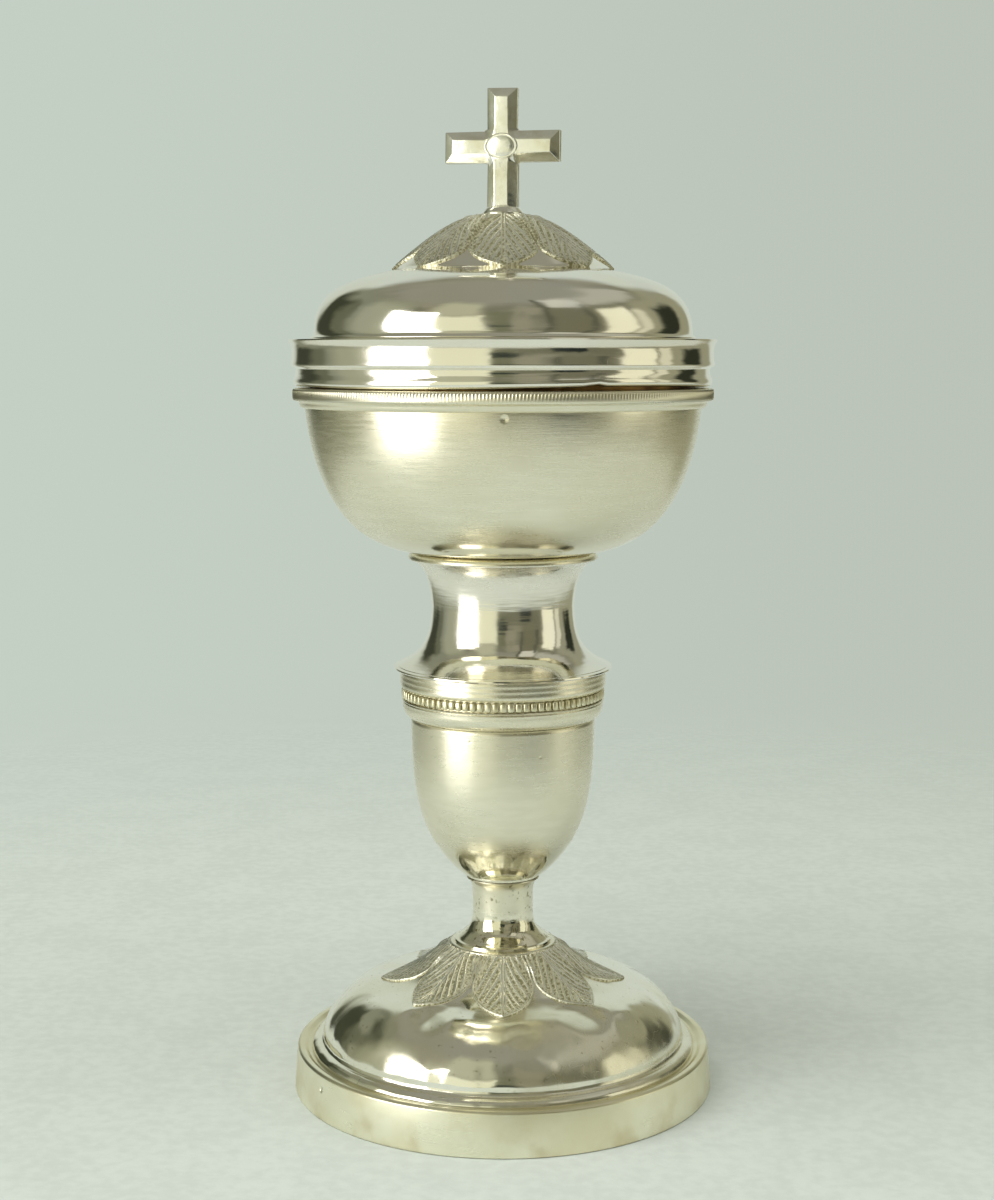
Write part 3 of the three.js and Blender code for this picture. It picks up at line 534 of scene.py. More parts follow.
def matted_relief(start):
    values = {"Vector": start.node("ShaderNodeTexCoord", output="Object"), "Scale": 3200.0}
    punched = start.node("ShaderNodeTexVoronoi", values=values, output="Distance")
    return (punched * 0.07 + grain(start, 1700.0) * 0.03) * (1.0 - stands_out(start) * 0.8)


matted_silver = finish("matted_silver", matted_tint, matted_rough, matted_relief)

# %% [markdown]
# ## Gilding, leather and filed silver
# The hosts touch only gold, so cup and lid are gilt inside. The gilt ring of the lid is painted dark brown,
# as painted shade for the narrow gap under the lid's band. A leather ring seals the oil, and the cross was
# left as the file cut it.

# %% Gilding, leather and filed silver
GOLD_DEEP = (0.80, 0.56, 0.22, 1)
GOLD_PALE = (0.88, 0.68, 0.34, 1)
# The next two browns are painted shade for the gilt ring in the gap under the lid's band
GOLD_PAINTED_SHADE_DEEP = (0.14, 0.075, 0.028, 1)
GOLD_PAINTED_SHADE_PALE = (0.40, 0.24, 0.09, 1)
LEATHER_DARK = colour(96, 66, 40)
LEATHER_PALE = colour(146, 106, 68)
FILED_CLEAN = (0.98, 0.97, 0.91, 1)
FILED_WARM = (0.86, 0.83, 0.70, 1)


def gilt_tint(start):
    return grain(start, 60.0, 4.0).ramp(0.35, 0.7).blend(GOLD_DEEP, GOLD_PALE)


def gilt_rough(start):
    return streaks(start, 4.0, 1800.0).ramp(0.3, 0.7, 0.20, 0.32)


# Painted shade: the lid's gilt ring is coloured dark brown, as it looks in the shadowed gap under the band
def gilt_painted_shade_tint(start):
    return grain(start, 140.0, 4.0).ramp(0.4, 0.7).blend(GOLD_PAINTED_SHADE_DEEP, GOLD_PAINTED_SHADE_PALE)


def gap_gilt_rough(start):
    return streaks(start, 4.0, 1800.0).ramp(0.3, 0.7, 0.36, 0.5)


def leather_tint(start):
    return grain(start, 600.0, 5.0).ramp(0.35, 0.65).blend(LEATHER_DARK, LEATHER_PALE)


def leather_rough(start):
    return grain(start, 400.0, 3.0).ramp(0.3, 0.7, 0.65, 0.85)


def leather_relief(start):
    return grain(start, 900.0, 4.0) * 0.12


def filed_tint(start):
    return grain(start, 300.0, 4.0).ramp(0.45, 0.75).blend(FILED_CLEAN, FILED_WARM)


def filed_rough(start):
    return grain(start, 500.0, 4.0).ramp(0.35, 0.7, 0.15, 0.27)


def filed_relief(start):
    file_marks = scratches(start, 260.0, (0.2, 0.6, 0.5), (8, 8, 0.7)) * -0.03
    return file_marks + grain(start, 420.0, 3.0) * 0.06


gilding = finish("gilding", gilt_tint, gilt_rough, satin_relief())
# The lid's ring gets gilding painted dark brown, a painted shade for the gap it sits in
gilding_painted_shade = finish("gilding_painted_shade", gilt_painted_shade_tint, gap_gilt_rough, satin_relief())
seal_leather = finish("seal_leather", leather_tint, leather_rough, leather_relief, 0.0)
filed_silver = finish("filed_silver", filed_tint, filed_rough, filed_relief)

# %% [markdown]
# ## Turning a piece
# Almost everything here was turned or spun on a lathe. The same is done in Blender: a few points are
# joined into a profile, and the spin operator sweeps it once round the Z axis. Curved stretches of a
# profile are Bezier curves, whose handles are given as shares of the way between their ends.

# %% Profiles
ROUND = 160
SMALL_ROUND = 96
FULL_TURN = 2 * math.pi
NEARLY_STRAIGHT = math.radians(158)


def bend(start, end, first, second, steps):
    """Points on a smooth bend. Each handle is a share of the way across and of the way up."""
    def between(across, up):
        return Vector((start[0] + (end[0] - start[0]) * across, start[1] + (end[1] - start[1]) * up))
    knots = [between(0, 0), between(*first), between(*second), between(1, 1)]
    return [tuple(point) for point in interpolate_bezier(*knots, steps + 1)]


def lifted(profile, height):
    return [(radius, up + height) for radius, up in profile]


def eased(profile, reach=0.15, steps=3):
    """Rounds the sharp corners of a profile, as polishing does."""
    made = [profile[0]]
    for before, corner, after in zip(profile, profile[1:], profile[2:]):
        here = Vector(corner)
        into, out = Vector(before) - here, Vector(after) - here
        if into.length < 1e-6 or out.length < 1e-6 or into.angle(out) > NEARLY_STRAIGHT:
            made.append(corner)
            continue
        start = here + into.normalized() * min(reach, into.length * 0.45)
        end = here + out.normalized() * min(reach, out.length * 0.45)
        handles = [start.lerp(here, 0.6), end.lerp(here, 0.6)]
        made += [tuple(point) for point in interpolate_bezier(start, *handles, end, steps + 1)]
    return made + [profile[-1]]


print("points in a bend of 4 steps:", len(bend((1, 0), (2, 1), (0.3, 0), (1, 0.4), 4)))


# %% Spinning a profile and making the piece
SHEET = 0.75


def outward(shape):
    """Turns the faces outwards, also on a shell that is still open."""
    bmesh.ops.recalc_face_normals(shape, faces=shape.faces[:])
    heights = [vert.co.z for vert in shape.verts]
    middle = Vector((0, 0, (min(heights) + max(heights)) / 2))
    flow = sum(face.normal.dot(face.calc_center_median() - middle) * face.calc_area() for face in shape.faces)
    if flow < 0:
        bmesh.ops.reverse_faces(shape, faces=shape.faces[:])


def spun(profile, closed=True, steps=ROUND):
    """Sweeps a profile of radius and height, in millimetres, once round the Z axis."""
    shape = bmesh.new()
    points = [shape.verts.new((radius * MM, 0, height * MM)) for radius, height in profile]
    ends = points[1:] + points[:1] if closed else points[1:]
    for pair in zip(points, ends):
        shape.edges.new(pair)
    swept = shape.verts[:] + shape.edges[:]
    bmesh.ops.spin(shape, geom=swept, cent=(0, 0, 0), axis=(0, 0, 1), dvec=(0, 0, 0),
                   angle=FULL_TURN, steps=steps, use_merge=True, use_duplicate=False)
    bmesh.ops.remove_doubles(shape, verts=shape.verts[:], dist=0.002 * MM)
    outward(shape)
    return shape


def repeated(shape, count):
    """Copies a shape round the Z axis, so many times in a full turn."""
    whole = shape.verts[:] + shape.edges[:] + shape.faces[:]
    bmesh.ops.spin(shape, geom=whole, cent=(0, 0, 0), axis=(0, 0, 1), dvec=(0, 0, 0),
                   angle=FULL_TURN * (count - 1) / count, steps=count - 1, use_duplicate=True)
    return shape


def piece(name, shape, body, finishes, covers=(), crease=35):
    """Makes the object from a shape, smooth but for its creases, and sets what it rides on."""
    for face in shape.faces:
        face.smooth = True
    for edge in shape.edges:
        if len(edge.link_faces) == 2 and edge.calc_face_angle() > math.radians(crease):
            edge.smooth = False
    mesh = bpy.data.meshes.new(name)
    shape.to_mesh(mesh)
    shape.free()
    for one in finishes:
        mesh.materials.append(one)
    made = bpy.data.objects.new(name, mesh)
    bpy.context.scene.collection.objects.link(made)
    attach(made, body)
    if covers:
        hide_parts(*covers)
    print(name, "rides on", body, "with", len(mesh.polygons), "faces")
    return made


def walled(made, thickness=SHEET, inside=0):
    """Gives an open shell its wall, inwards. The inside may take another of its finishes."""
    wall = made.modifiers.new("wall", "SOLIDIFY")
    wall.thickness = thickness * MM
    wall.offset = -1
    wall.use_even_offset = True
    wall.material_offset = inside
    return made


# %% [markdown]
# ## The plinth
# The foot stands on a plain upright ring, rubbed satin, with a crisp upper edge. Inside the edge a
# narrow ledge lies a little lower, and the dome sits on it. The ring was bent from strip and
# soldered, and has been knocked once or twice.

# %% The plinth
PLINTH_CLEAN = (0.96, 0.93, 0.75, 1)
PLINTH_OLIVE = (0.86, 0.80, 0.58, 1)
PLINTH_STAIN = (0.70, 0.61, 0.40, 1)
PLINTH_DENTS = [((-28.9, -18.6, 4.9), 0.75, 0.30), ((-28.5, -19.3, 3.3), 0.50, 0.22),
                ((23.5, -25.3, 1.2), 1.3, 0.05)]
plinth_outside = [(32.0, 0.0), (34.85, 0.0), (35.0, 0.2), (34.47, 6.95), (34.1, 7.28), (33.4, 7.3)]
plinth_outside += [(32.7, 6.72), (29.4, 6.7)]
plinth_inside = [(29.4, 5.9), (33.5, 5.85), (34.1, 0.9), (32.0, 0.85)]


def plinth_tint(start):
    """Olive and brown stains, more of them towards the table."""
    ground = grain(start, 75.0, 5.0).ramp(0.36, 0.66).blend(PLINTH_CLEAN, PLINTH_OLIVE)
    stain = grain(start, 130.0, 5.0).ramp(0.46, 0.68) * up_from_table(start).ramp(0.0, 6.5 * MM, 0.8, 0.25)
    return stain.blend(ground, PLINTH_STAIN)


plinth_finish = finish("plinth_satin", plinth_tint, satin_rough(0.27, 0.30),
                       satin_relief(PLINTH_DENTS))
piece("plinth", spun(eased(plinth_outside, 0.16) + plinth_inside), "foot_unit",
      [plinth_finish], ["foot_plinth_ring"])

# %% [markdown]
# ## The dome of the foot
# A spun sheet: a rounded step, a fine groove, then a full bulge that runs into a cone under the neck.
# An open profile is spun, and the Solidify modifier gives it the thickness of the sheet.

# %% The dome of the foot
FOOT_DOME_FOOT = 6.8
foot_step = bend((32.12, -0.15), (30.5, 1.28), (-0.02, 0.55), (0.42, 0.97), 9)
foot_step += [(30.34, 1.4), (30.18, 1.65), (30.1, 2.0)]
foot_bulge = bend((30.1, 2.5), (20.6, 10.53), (0.04, 0.36), (0.5, 0.97), 28)
foot_rise = bend((20.6, 10.53), (7.9, 17.22), (0.5, 0.11), (0.64, 0.63), 22)
foot_dome_profile = lifted(foot_step + foot_bulge + foot_rise[1:] + [(3.0, 17.24)], FOOT_DOME_FOOT)
walled(piece("foot_dome_shell", spun(foot_dome_profile, closed=False), "foot_unit",
             [hammered_silver], ["foot_dome"]))

# %% [markdown]
# ## The neck
# A short turned neck joins the foot to the oil stock. It stands on a thin ring and opens again at the
# top, where a thin washer takes the pressure of the screw.

# %% The neck and its washer
NECK_FOOT = 24.05
NECK_SPECK = (0.40, 0.36, 0.22, 1)
neck_profile = [(3.0, 0.0), (7.95, 0.0), (8.12, 0.12), (8.16, 0.36), (8.02, 0.62), (7.72, 0.74)]
neck_profile += bend((7.6, 0.8), (5.03, 5.7), (0.62, 0.30), (1.0, 0.3), 18)
neck_profile += bend((5.03, 8.7), (6.0, 10.9), (0.1, 0.6), (0.4, 0.95), 8)
neck_profile += [(6.08, 11.05), (6.0, 11.2), (3.0, 11.2)]


def neck_tint(start):
    specks = grain(start, 1100.0, 3.0).ramp(0.56, 0.66) * streaks(start, 9.0, 300.0).ramp(0.35, 0.55)
    return specks.blend(satin_tint(start), NECK_SPECK)


def neck_rough(start):
    """The flare mirrors the room, and the straight part above it is rubbed dull."""
    return burnished_rough(start) + up_from_table(start).ramp(28.8 * MM, 30.0 * MM, 0.0, 0.20)


def neck_relief(start):
    waves = grain(start, 120.0, 1.0) * 0.20 + grain(start, 700.0, 3.0) * 0.02
    return waves + streaks(start, 3.0, 1800.0) * 0.012


neck_finish = finish("neck_burnished", neck_tint, neck_rough, neck_relief)
piece("neck", spun(lifted(neck_profile, NECK_FOOT), steps=SMALL_ROUND), "foot_unit",
      [neck_finish], ["stem_neck"])
washer_profile = eased([(3.2, 35.3), (5.95, 35.3), (5.95, 35.95), (3.2, 35.95)], 0.1)
piece("neck_washer", spun(washer_profile, steps=SMALL_ROUND), "stem_seat",
      [satin_silver], ["stem_washer"])

# %% [markdown]
# ## The knurled ring at the root of the leaves
# A knurling wheel was rolled round a small turned ring. In Blender the ring is spun with two steps to
# each notch, and the outer points of every other step are scaled outwards.


# %% The knurled ring
def knurled(profile, columns, beyond, depth):
    """A turned ring whose outer points are drawn out in every other column, as a knurling wheel does."""
    ring = spun(profile, steps=2 * columns)
    drawn_out = []
    for vert in ring.verts:
        column = round(math.atan2(vert.co.y, vert.co.x) / FULL_TURN * 2 * columns)
        if vert.co.xy.length / MM > beyond and column % 2:
            drawn_out.append(vert)
    bmesh.ops.scale(ring, vec=(1 + depth, 1 + depth, 1.0), verts=drawn_out)
    return ring


KNURLS = 76
knurl_profile = [(7.8, 23.4), (8.55, 23.45), (8.8, 23.62), (8.84, 23.9), (8.7, 24.12), (8.4, 24.2)]
knurl_profile += [(7.8, 24.2)]
piece("leaf_root_ring", knurled(knurl_profile, KNURLS, beyond=8.5, depth=0.016), "foot_unit",
      [satin_silver], crease=60)

# %% [markdown]
# ## The oil stock
# The egg-shaped box for the oil is raised from sheet and rubbed satin. Its mouth is closed by the
# sleeve of the cup.

# %% The oil stock
STOCK_FOOT = 36.08
EGG_BRIGHT_BELOW = 40.3
EGG_DENTS = [((9.9, -11.2, 56.5), 0.45, 0.06), ((6.0, -13.9, 58.0), 0.35, 0.05),
             ((-5.3, -14.2, 60.6), 0.3, 0.05)]
egg_profile = [(5.2, 0.0)] + bend((6.95, 0.0), (15.2, 26.2), (1.01, 0.27), (0.955, 0.63), 44)
egg_finish = finish("egg_satin", satin_tint, satin_rough(0.25, 0.32, EGG_BRIGHT_BELOW),
                    satin_relief(EGG_DENTS))
walled(piece("oil_stock_egg", spun(lifted(egg_profile, STOCK_FOOT), closed=False), "stock_unit",
             [egg_finish], ["oil_stock_body"]))

# %% [markdown]
# ## The sleeve and its reeds
# The sleeve under the spool hides the joint. From below it has a plain swelling band, a row of pearls
# between two fine wires, and a band of fine reeds.

# %% The sleeve
SLEEVE_FOOT = 62.42


def reeds(radius, low, high, count, depth):
    """A row of small rounded ridges, one above another."""
    points = []
    for index in range(count):
        foot = low + (high - low) * index / count
        span = (high - low) / count
        points += [(radius - depth, foot), (radius, foot + span * 0.3), (radius, foot + span * 0.7)]
    return points + [(radius - depth, high)]


sleeve_profile = bend((15.3, 0.0), (16.55, 2.3), (0.6, 0.1), (1.0, 0.5), 10)
sleeve_profile += [(16.6, 2.55), (16.5, 2.74), (16.66, 2.86), (16.72, 2.98), (16.62, 3.12), (16.05, 3.16)]
sleeve_profile += [(16.05, 4.84), (16.62, 4.88), (16.74, 5.02), (16.6, 5.18)]
sleeve_profile += reeds(16.95, 5.26, 7.86, 3, 0.05)
sleeve_profile += [(15.6, 7.9), (15.6, 2.4), (14.8, 1.2), (14.8, 0.0)]
piece("sleeve", spun(lifted(sleeve_profile, SLEEVE_FOOT)), "cup_unit",
      [satin_silver], ["collar_sleeve"])

# %% [markdown]
# ## The row of pearls
# The pearls are worn, slightly square grains of a beaded wire. One grain is a small block whose edges
# are bevelled round, and the spin operator repeats it as duplicates.

# %% The row of pearls
PEARLS = 84
PEARL_SIZE = (0.7, 1.02, 1.46)
PEARL_RADIUS = 16.4
PEARL_HEIGHT = SLEEVE_FOOT + 4.0
PEARL_BRIGHT = (0.90, 0.86, 0.66, 1)
PEARL_DIRTY = (0.70, 0.64, 0.43, 1)
pearl = bmesh.new()
bmesh.ops.create_cube(pearl, size=MM)
bmesh.ops.scale(pearl, verts=pearl.verts[:], vec=PEARL_SIZE)
bmesh.ops.bevel(pearl, geom=pearl.edges[:], offset=0.26 * MM, affect="EDGES", segments=2,
                profile=0.5, material=-1)
bmesh.ops.translate(pearl, verts=pearl.verts[:], vec=(PEARL_RADIUS * MM, 0, PEARL_HEIGHT * MM))


def pearl_tint(start):
    return grain(start, 500.0, 3.0).ramp(0.35, 0.7).blend(PEARL_BRIGHT, PEARL_DIRTY)


pearl_finish = finish("pearl_satin", pearl_tint, satin_rough(0.30, 0.36), filed_relief)
piece("pearls", repeated(pearl, PEARLS), "cup_unit", [pearl_finish], ["bead_ring"], crease=80)

# %% [markdown]
# ## The spool
# The waisted stem between oil stock and cup is burnished below and slightly satin above. It is one
# spun sheet that flares over the sleeve like a small saucer. A thin ring seats the cup on it.

# %% The spool and the ring under the cup
SPOOL_FOOT = 70.42
SPOOL_SHEET = 0.7
SPOOL_DULL_FROM, SPOOL_DULL_TO = 81, 88
spool_low = bend((17.9, 0.42), (11.7, 10.5), (0.776, 0.215), (0.971, 0.421), 30)
spool_high = bend((11.7, 10.5), (15.5, 18.2), (0.05, 0.42), (0.21, 0.88), 24)
spool_profile = [(17.2, 0.0), (17.75, 0.02), (17.92, 0.2)] + spool_low + spool_high[1:]


def spool_rough(start):
    """Burnished below, and rubbed dull towards the cup."""
    dull_share = up_from_table(start).ramp(SPOOL_DULL_FROM * MM, SPOOL_DULL_TO * MM)
    rubbed = dull_share * streaks(start, 5.0, 1400.0).ramp(0.35, 0.65, 0.08, 0.24)
    return burnished_rough(start) + rubbed


spool_finish = finish("spool_burnished", burnished_tint, spool_rough, burnished_relief(0.16, 0.03))
walled(piece("spool", spun(lifted(spool_profile, SPOOL_FOOT), closed=False), "cup_unit",
             [spool_finish], ["spool_stem"]), SPOOL_SHEET)
seat_profile = [(13.1, 88.62), (15.3, 88.6), (15.5, 88.7), (15.55, 88.92), (15.46, 89.15), (15.25, 89.4),
                (14.8, 89.7), (14.0, 89.9), (13.1, 89.92)]
piece("seat_ring", spun(seat_profile), "cup_unit", [satin_silver], ["spool_seat_ring"])

# %% [markdown]
# ## The cup
# The bowl is raised from sheet, satin outside and gilt inside, because the hosts touch only gold. The
# inside wall takes the second finish by the modifier's material offset.

# %% The cup
CUP_FOOT = 89.92
CUP_BRIGHT_BELOW = 91.6
CUP_HAIRLINE = 0.009
CUP_DENTS = [((0.1, -32.0, 112.3), 0.8, 0.12), ((-13.5, -29.0, 108.7), 0.5, 0.03),
             ((2.5, -30.6, 101.0), 0.4, 0.04)]
cup_profile = [(0, 0.0), (8.0, 0.0)] + bend((15.6, 0.0), (32.1, 23.25), (0.78, 0.074), (0.957, 0.69), 44)
cup_profile += [(32.1, 24.8), (32.1, 26.5)]
cup_finish = finish("cup_satin", satin_tint, satin_rough(0.22, 0.30, CUP_BRIGHT_BELOW),
                    satin_relief(CUP_DENTS, CUP_HAIRLINE))
walled(piece("cup", spun(lifted(cup_profile, CUP_FOOT), closed=False), "cup_unit",
             [cup_finish, gilding], ["cup_bowl"]), inside=1)

# %% [markdown]
# ## The milled rim
# A wire with fine upright ribs is soldered round the mouth, over a plain fillet. It is knurled as the
# small ring at the root of the leaves is, with many more columns.

# %% The milled rim
RIBS = 400
rim_profile = [(32.0, 113.2), (32.6, 113.25), (32.9, 113.5), (33.02, 113.9), (33.1, 114.2), (33.5, 114.36)]
rim_profile += [(33.8, 114.5), (33.92, 114.8), (33.94, 115.9), (33.84, 116.22), (33.5, 116.38), (32.0, 116.4)]
rim_finish = finish("rim_milled", satin_tint, satin_rough(0.26, 0.32), satin_relief())
piece("rim_wire", knurled(rim_profile, RIBS, beyond=33.7, depth=0.0048), "cup_unit",
      [rim_finish], ["cup_rim_wire"], crease=60)

# %% [markdown]
# ## The lid's band
# The lid has a moulded upright band with a sharp lip above and a gilt ring inside that drops into the
# cup. The band has been bent a little: at the front right its lower edge lifts off the rim.

# %% The band of the lid
LID_FOOT = 116.5
band_outside = [(31.2, 0.05), (32.9, 0.0), (33.45, 0.12), (33.8, 0.45), (33.92, 0.9), (33.78, 1.4)]
band_outside += [(33.55, 1.9), (33.46, 2.45), (33.5, 2.95), (33.72, 3.2), (34.08, 3.32), (34.24, 3.55)]
band_outside += [(34.24, 3.85), (34.14, 4.3), (34.08, 5.0), (34.06, 5.8), (34.12, 6.4), (34.3, 6.9)]
band_outside += [(34.52, 7.2), (34.62, 7.42), (34.52, 7.62), (34.2, 7.66), (33.6, 7.5), (29.6, 7.55)]
band_inside = [(29.6, 6.9), (32.6, 6.8), (32.6, 0.9), (31.2, 0.85)]
band = spun(lifted(band_outside + band_inside, LID_FOOT))


def swell(distance, reach):
    """A rounded rise: one at no distance, falling smoothly to nothing beyond its reach."""
    return math.exp(-((distance / reach) ** 2))


for vert in band.verts:
    low = max(0.0, 1 - (vert.co.z / MM - LID_FOOT) / 3.4)
    compass = math.degrees(math.atan2(vert.co.x, -vert.co.y))
    sprung = swell(compass - 34, 36) * 0.5 + swell(compass + 70, 18) * 0.2
    nick = swell(compass - 24, 1.6) * 0.35
    vert.co.z += low ** 1.5 * (sprung + nick) * MM
    slow_wave = 0.0016 * math.sin(math.radians(compass * 3 + 40))
    wobble = 1 + slow_wave + 0.0009 * math.sin(math.radians(compass * 7))
    vert.co.x *= wobble
    vert.co.y *= wobble
piece("lid_band", band, "lid_unit", [burnished_silver], ["lid_rim_band"])
bezel_profile = eased([(30.1, 112.65), (30.95, 112.65), (31.0, 123.2), (30.1, 123.2)], 0.2)
# The inner ring's gilding is painted dark brown, as painted shade for the gap under the band
piece("lid_inner_ring", spun(bezel_profile), "lid_unit", [gilding_painted_shade], ["lid_bezel"])

# %% [markdown]
# ## The dome of the lid
# The lid's dome is a spun sheet like the foot's, but higher in the middle, and gilt inside.

# %% The dome of the lid
LID_DOME_FOOT = 124.42
lid_bulge = bend((30.6, 0.6), (17.8, 10.75), (0, 0.73), (0.496, 0.86), 28)
lid_rise = bend((17.8, 10.75), (3.4, 19.25), (0.264, 0.365), (0.66, 0.976), 22)
lid_profile = [(31.1, -0.25), (31.1, 0.0), (30.85, 0.25)] + lid_bulge + lid_rise[1:] + [(1.4, 19.27)]
lid_dome_profile = lifted(lid_profile, LID_DOME_FOOT)
lid_finish = finish("lid_burnished", burnished_tint, burnished_rough, burnished_relief(0.5, 0.012))
walled(piece("lid_dome_shell", spun(lid_dome_profile, closed=False), "lid_unit",
             [lid_finish, gilding], ["lid_dome"]), inside=1)

# %% [markdown]
# ## The leaves
# Eight pointed leaves were chased from one sheet and soldered round the neck, and eight more lie
# under the cross. One leaf starts as a flat grid. Its two directions become the way along the leaf
# and the way across it, its height becomes rim, vein and side veins, and it is then laid on the dome.

# %% One leaf on a turned surface
LEAVES = 8
SECTOR = math.pi / LEAVES
ACROSS, ALONG = 74, 78
VEIN_SPACING = 1.9
LEAF_UNDERSIDE = -0.12


def surface_at(profile, radius):
    """Height and slope direction of a profile at a radius."""
    for (r1, z1), (r2, z2) in zip(profile, profile[1:]):
        if r2 <= radius <= r1 and r1 - r2 > 1e-6:
            share = (r1 - radius) / (r1 - r2)
            slope = Vector((r2 - r1, z2 - z1)).normalized()
            return z1 + (z2 - z1) * share, Vector((slope.y, -slope.x))
    raise ValueError(radius)


def share(value):
    """The value, kept between zero and one."""
    return min(1.0, max(0.0, value))


def leaf_relief(across, radius, edge, root, notch, tip, shine):
    """Height over the dome in millimetres and how much a point stands out, for one spot of the leaf."""
    width = max(edge * radius * SECTOR, 0.05)
    from_edge = width - abs(across)
    free = share((radius - notch + 1.2) / 1.2)
    rim = swell(from_edge - 0.24, 0.13) + 0.55 * swell(from_edge - 0.72, 0.10)
    vein = swell(abs(across) - 0.24, 0.13) + 0.25 * swell(across, 0.5)
    vein *= min(1.0, (tip - radius) / 2.5)
    flow = (radius - VEIN_SPACING * abs(across) ** 0.95 - root) / VEIN_SPACING
    side = (0.5 + 0.5 * math.cos(FULL_TURN * (flow + 0.07 * math.sin(2.3 * across)))) ** 2.2
    side *= share((from_edge - 0.75) / 0.4) * share((abs(across) - 0.3) / 0.3)
    drop = 0.34 * swell(from_edge, 0.55) * swell(radius - root - 2.1, 0.95)
    knurl = 0.16 * swell(radius - root - 0.3, 0.35) * (0.5 + 0.5 * math.cos(across / radius * 72))
    fall = min(1.0, from_edge / 0.12) * free + (1 - free) * (1 - 0.5 * swell(from_edge, 0.12))
    body = 0.19 + 0.07 * (1 - (across / width) ** 2)
    ridge = shine * rim * (0.45 + 0.55 * free) + shine * vein + side + 2.2 * drop + 3.0 * knurl
    return fall * (body + 0.16 * rim + 0.20 * vein + 0.24 * side) + drop + knurl - 0.03, min(1.0, ridge)


def leaf_ring(profile, root, notch, tip, blunt, shine):
    """Eight leaves on a profile, from a root radius to a tip radius. A blunter leaf is fuller."""
    shape = bmesh.new()
    ridge_layer = shape.verts.layers.float.new("relief")
    bmesh.ops.create_grid(shape, x_segments=ACROSS, y_segments=ALONG, size=1.0)
    grown = bmesh.ops.extrude_face_region(shape, geom=shape.faces[:], use_keep_orig=True)
    upper = [part for part in grown["geom"] if isinstance(part, bmesh.types.BMVert)]
    bmesh.ops.translate(shape, verts=upper, vec=(0, 0, 1))
    for vert in shape.verts:
        side, along, level = vert.co.x, (vert.co.y + 1) / 2, vert.co.z
        radius = tip - (tip - root) * (1 - (1 - along) ** 1.2)
        from_tip = min(1.0, (tip - radius) / (tip - notch))
        edge = (1 - (1 - from_tip) ** blunt) * 0.985
        across = side * edge * radius * SECTOR
        height, normal = surface_at(profile, radius)
        rise, ridge = LEAF_UNDERSIDE, 0.0
        if level > 0.5:
            rise, ridge = leaf_relief(across, radius, edge, root, notch, tip, shine)
        reach = radius + normal.x * rise
        angle = side * edge * SECTOR - math.pi / 2
        vert[ridge_layer] = ridge
        vert.co = Vector((reach * math.cos(angle), reach * math.sin(angle), height + normal.y * rise)) * MM
    bmesh.ops.remove_doubles(shape, verts=shape.verts[:], dist=0.004 * MM)
    bmesh.ops.recalc_face_normals(shape, faces=shape.faces[:])
    return repeated(shape, LEAVES)


# %% The leaves of foot and lid
foot_leaves = leaf_ring(foot_dome_profile, root=8.6, notch=13.0, tip=20.5, blunt=1.55, shine=0.95)
piece("foot_leaves", foot_leaves, "foot_unit",
      [matted_silver], ["foot_leaf_rosette"], crease=70)
lid_leaves = leaf_ring(lid_dome_profile, root=3.9, notch=13.9, tip=17.9, blunt=2.0, shine=0.4)
piece("lid_leaves", lid_leaves, "lid_unit",
      [matted_silver], ["lid_leaf_rosette"], crease=70)

# %% [markdown]
# ## The cross
# The cross is cast and filed: flat narrow faces with broad bevels, and a tenon through the dome. It
# starts as a flat outline, is given its thickness, and its faces are inset and drawn forward to make
# the bevels. It stands turned a little to the left, and its facets are uneven from the file.

# %% The cross
CROSS_FOOT = 145.2
CROSS_MIDDLE = 9.55
CROSS_TURN = math.radians(-13.5)
CROSS_EDGE = 1.0
BEVEL_WIDTH = 1.45
BEVEL_DEPTH = 1.0
FILE_SLIP = 0.1
collar_profile = eased([(1.32, 143.7), (3.3, 143.7), (3.3, 144.3), (2.6, 145.25), (1.32, 145.25)], 0.25)
piece("finial_ring", spun(collar_profile, steps=64), "lid_unit",
      [filed_silver], ["finial_collar"])

cross = bmesh.new()
half, arm, head, low, high = 2.5, 9.45, 18.75, 7.05, 12.05
outline = [(-half, -1.2), (half, -1.2), (half, low), (arm, low), (arm, high), (half, high), (half, head),
           (-half, head), (-half, high), (-arm, high), (-arm, low), (-half, low)]
corners = [cross.verts.new((x * MM, -CROSS_EDGE / 2 * MM, (z + CROSS_FOOT) * MM)) for x, z in outline]
cross.faces.new(corners)
inner_corners = [corners[index] for index in (2, 5, 8, 11)]
bmesh.ops.bevel(cross, geom=inner_corners, offset=0.45 * MM, affect="VERTICES", segments=3,
                profile=0.5, material=-1)
grown = bmesh.ops.extrude_face_region(cross, geom=cross.faces[:], use_keep_orig=True)
back_verts = [part for part in grown["geom"] if isinstance(part, bmesh.types.BMVert)]
bmesh.ops.translate(cross, verts=back_verts, vec=(0, CROSS_EDGE * MM, 0))
bmesh.ops.recalc_face_normals(cross, faces=cross.faces[:])
broad = [face for face in cross.faces if abs(face.normal.y) > 0.9]
bmesh.ops.inset_individual(cross, faces=broad, thickness=BEVEL_WIDTH * MM, depth=BEVEL_DEPTH * MM,
                           use_even_offset=True)
dice = random.Random(4)
for vert in cross.verts:
    vert.co += Vector((dice.uniform(-1, 1), dice.uniform(-1, 1), dice.uniform(-1, 1))) * FILE_SLIP * MM
sharp = [edge for edge in cross.edges
         if len(edge.link_faces) == 2 and edge.calc_face_angle() > math.radians(20)]
bmesh.ops.bevel(cross, geom=sharp, offset=0.09 * MM, affect="EDGES", segments=2, profile=0.5, material=-1)
tenon_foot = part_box("cross_finial")[0][2]
tenon_height = (CROSS_FOOT + 0.3) * MM - tenon_foot
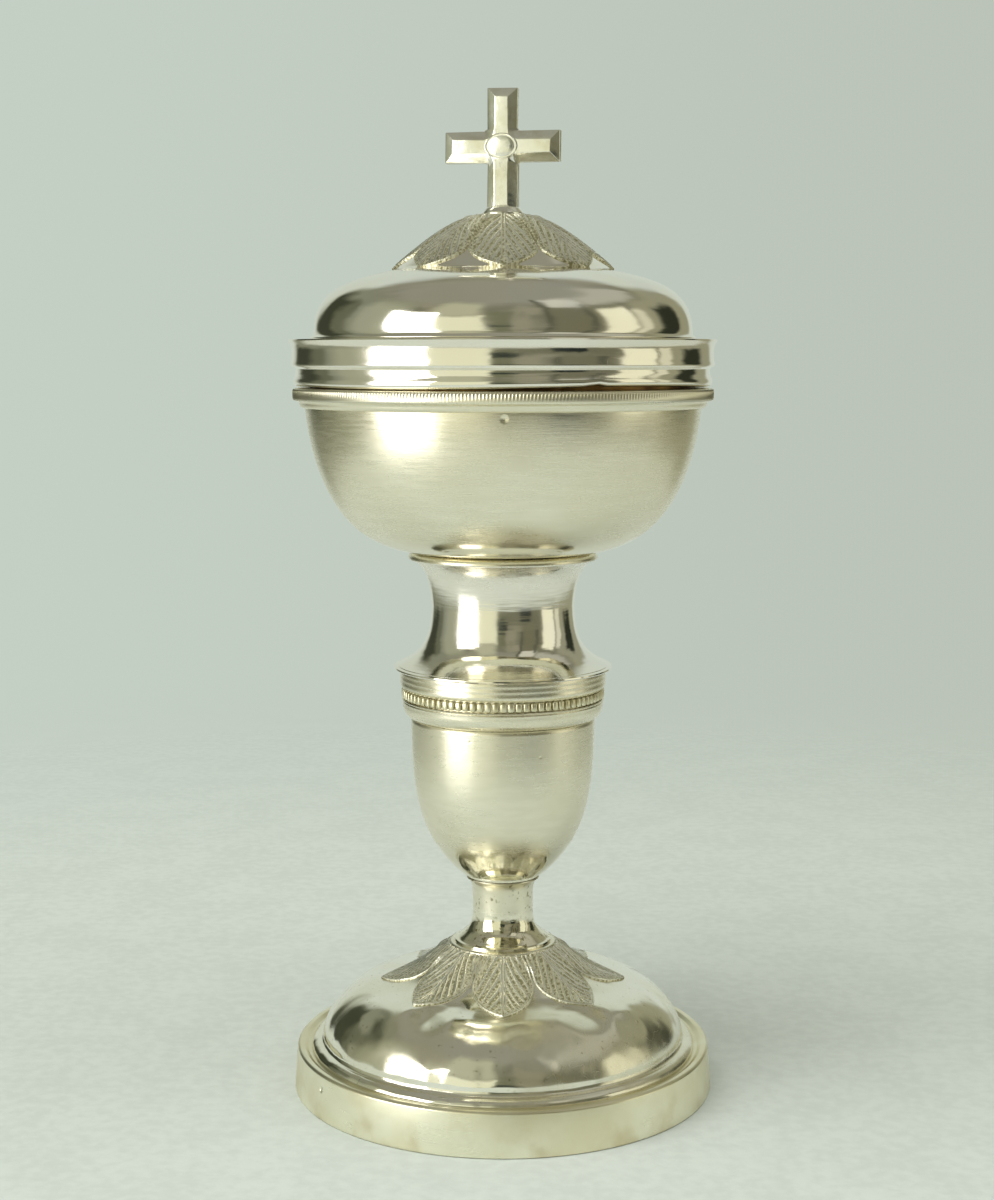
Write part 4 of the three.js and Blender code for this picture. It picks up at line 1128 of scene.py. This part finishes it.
tenon_middle = Matrix.Translation((0, 0, tenon_foot + tenon_height / 2))
bmesh.ops.create_cone(cross, cap_ends=True, segments=32, radius1=1.25 * MM, radius2=1.3 * MM,
                      depth=tenon_height, matrix=tenon_middle)
bmesh.ops.rotate(cross, verts=cross.verts[:], cent=(0, 0, 0), matrix=Matrix.Rotation(CROSS_TURN, 3, "Z"))
piece("cross", cross, "lid_unit", [filed_silver], ["cross_finial"], crease=30)

# %% [markdown]
# ## The boss on the cross
# A small oval disc with a raised rim sits on the crossing, and it is left plain. Its profile is spun,
# laid over to face forward, made oval and moved into place.

# %% The boss on the cross
BOSS_OVAL = (1.34, 1.02, 1.0)
BOSS_BACK = -0.85
boss_profile = [(0, 0.0), (0, 0.92), (1.5, 0.90), (1.6, 0.84), (1.66, 0.40), (1.78, 0.40), (1.82, 0.78)]
boss_profile += [(1.9, 0.84), (2.0, 0.78), (2.06, 0.6), (2.0, 0.0)]
boss = spun(boss_profile, steps=48)
bmesh.ops.scale(boss, verts=boss.verts[:], vec=BOSS_OVAL)
bmesh.ops.rotate(boss, verts=boss.verts[:], cent=(0, 0, 0), matrix=Matrix.Rotation(math.pi / 2, 3, "X"))
bmesh.ops.translate(boss, verts=boss.verts[:], vec=(0, BOSS_BACK * MM, (CROSS_FOOT + CROSS_MIDDLE) * MM))
bmesh.ops.rotate(boss, verts=boss.verts[:], cent=(0, 0, 0), matrix=Matrix.Rotation(CROSS_TURN, 3, "Z"))
piece("cross_boss", boss, "lid_unit", [filed_silver])

# %% [markdown]
# ## Pieces that stay as packed
# Nuts, washers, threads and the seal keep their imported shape. They only get the finish of their metal
# or leather.

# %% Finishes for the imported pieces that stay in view
for name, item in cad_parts.items():
    item.data.materials.clear()
    item.data.materials.append(seal_leather if name == "stock_seal" else satin_silver)
print("packed pieces with a finish:", len(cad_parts))

# %% [markdown]
# ## The last lines
# The view is set to show colours as they are.

# %% The last lines
bpy.context.scene.view_settings.view_transform = "Standard"
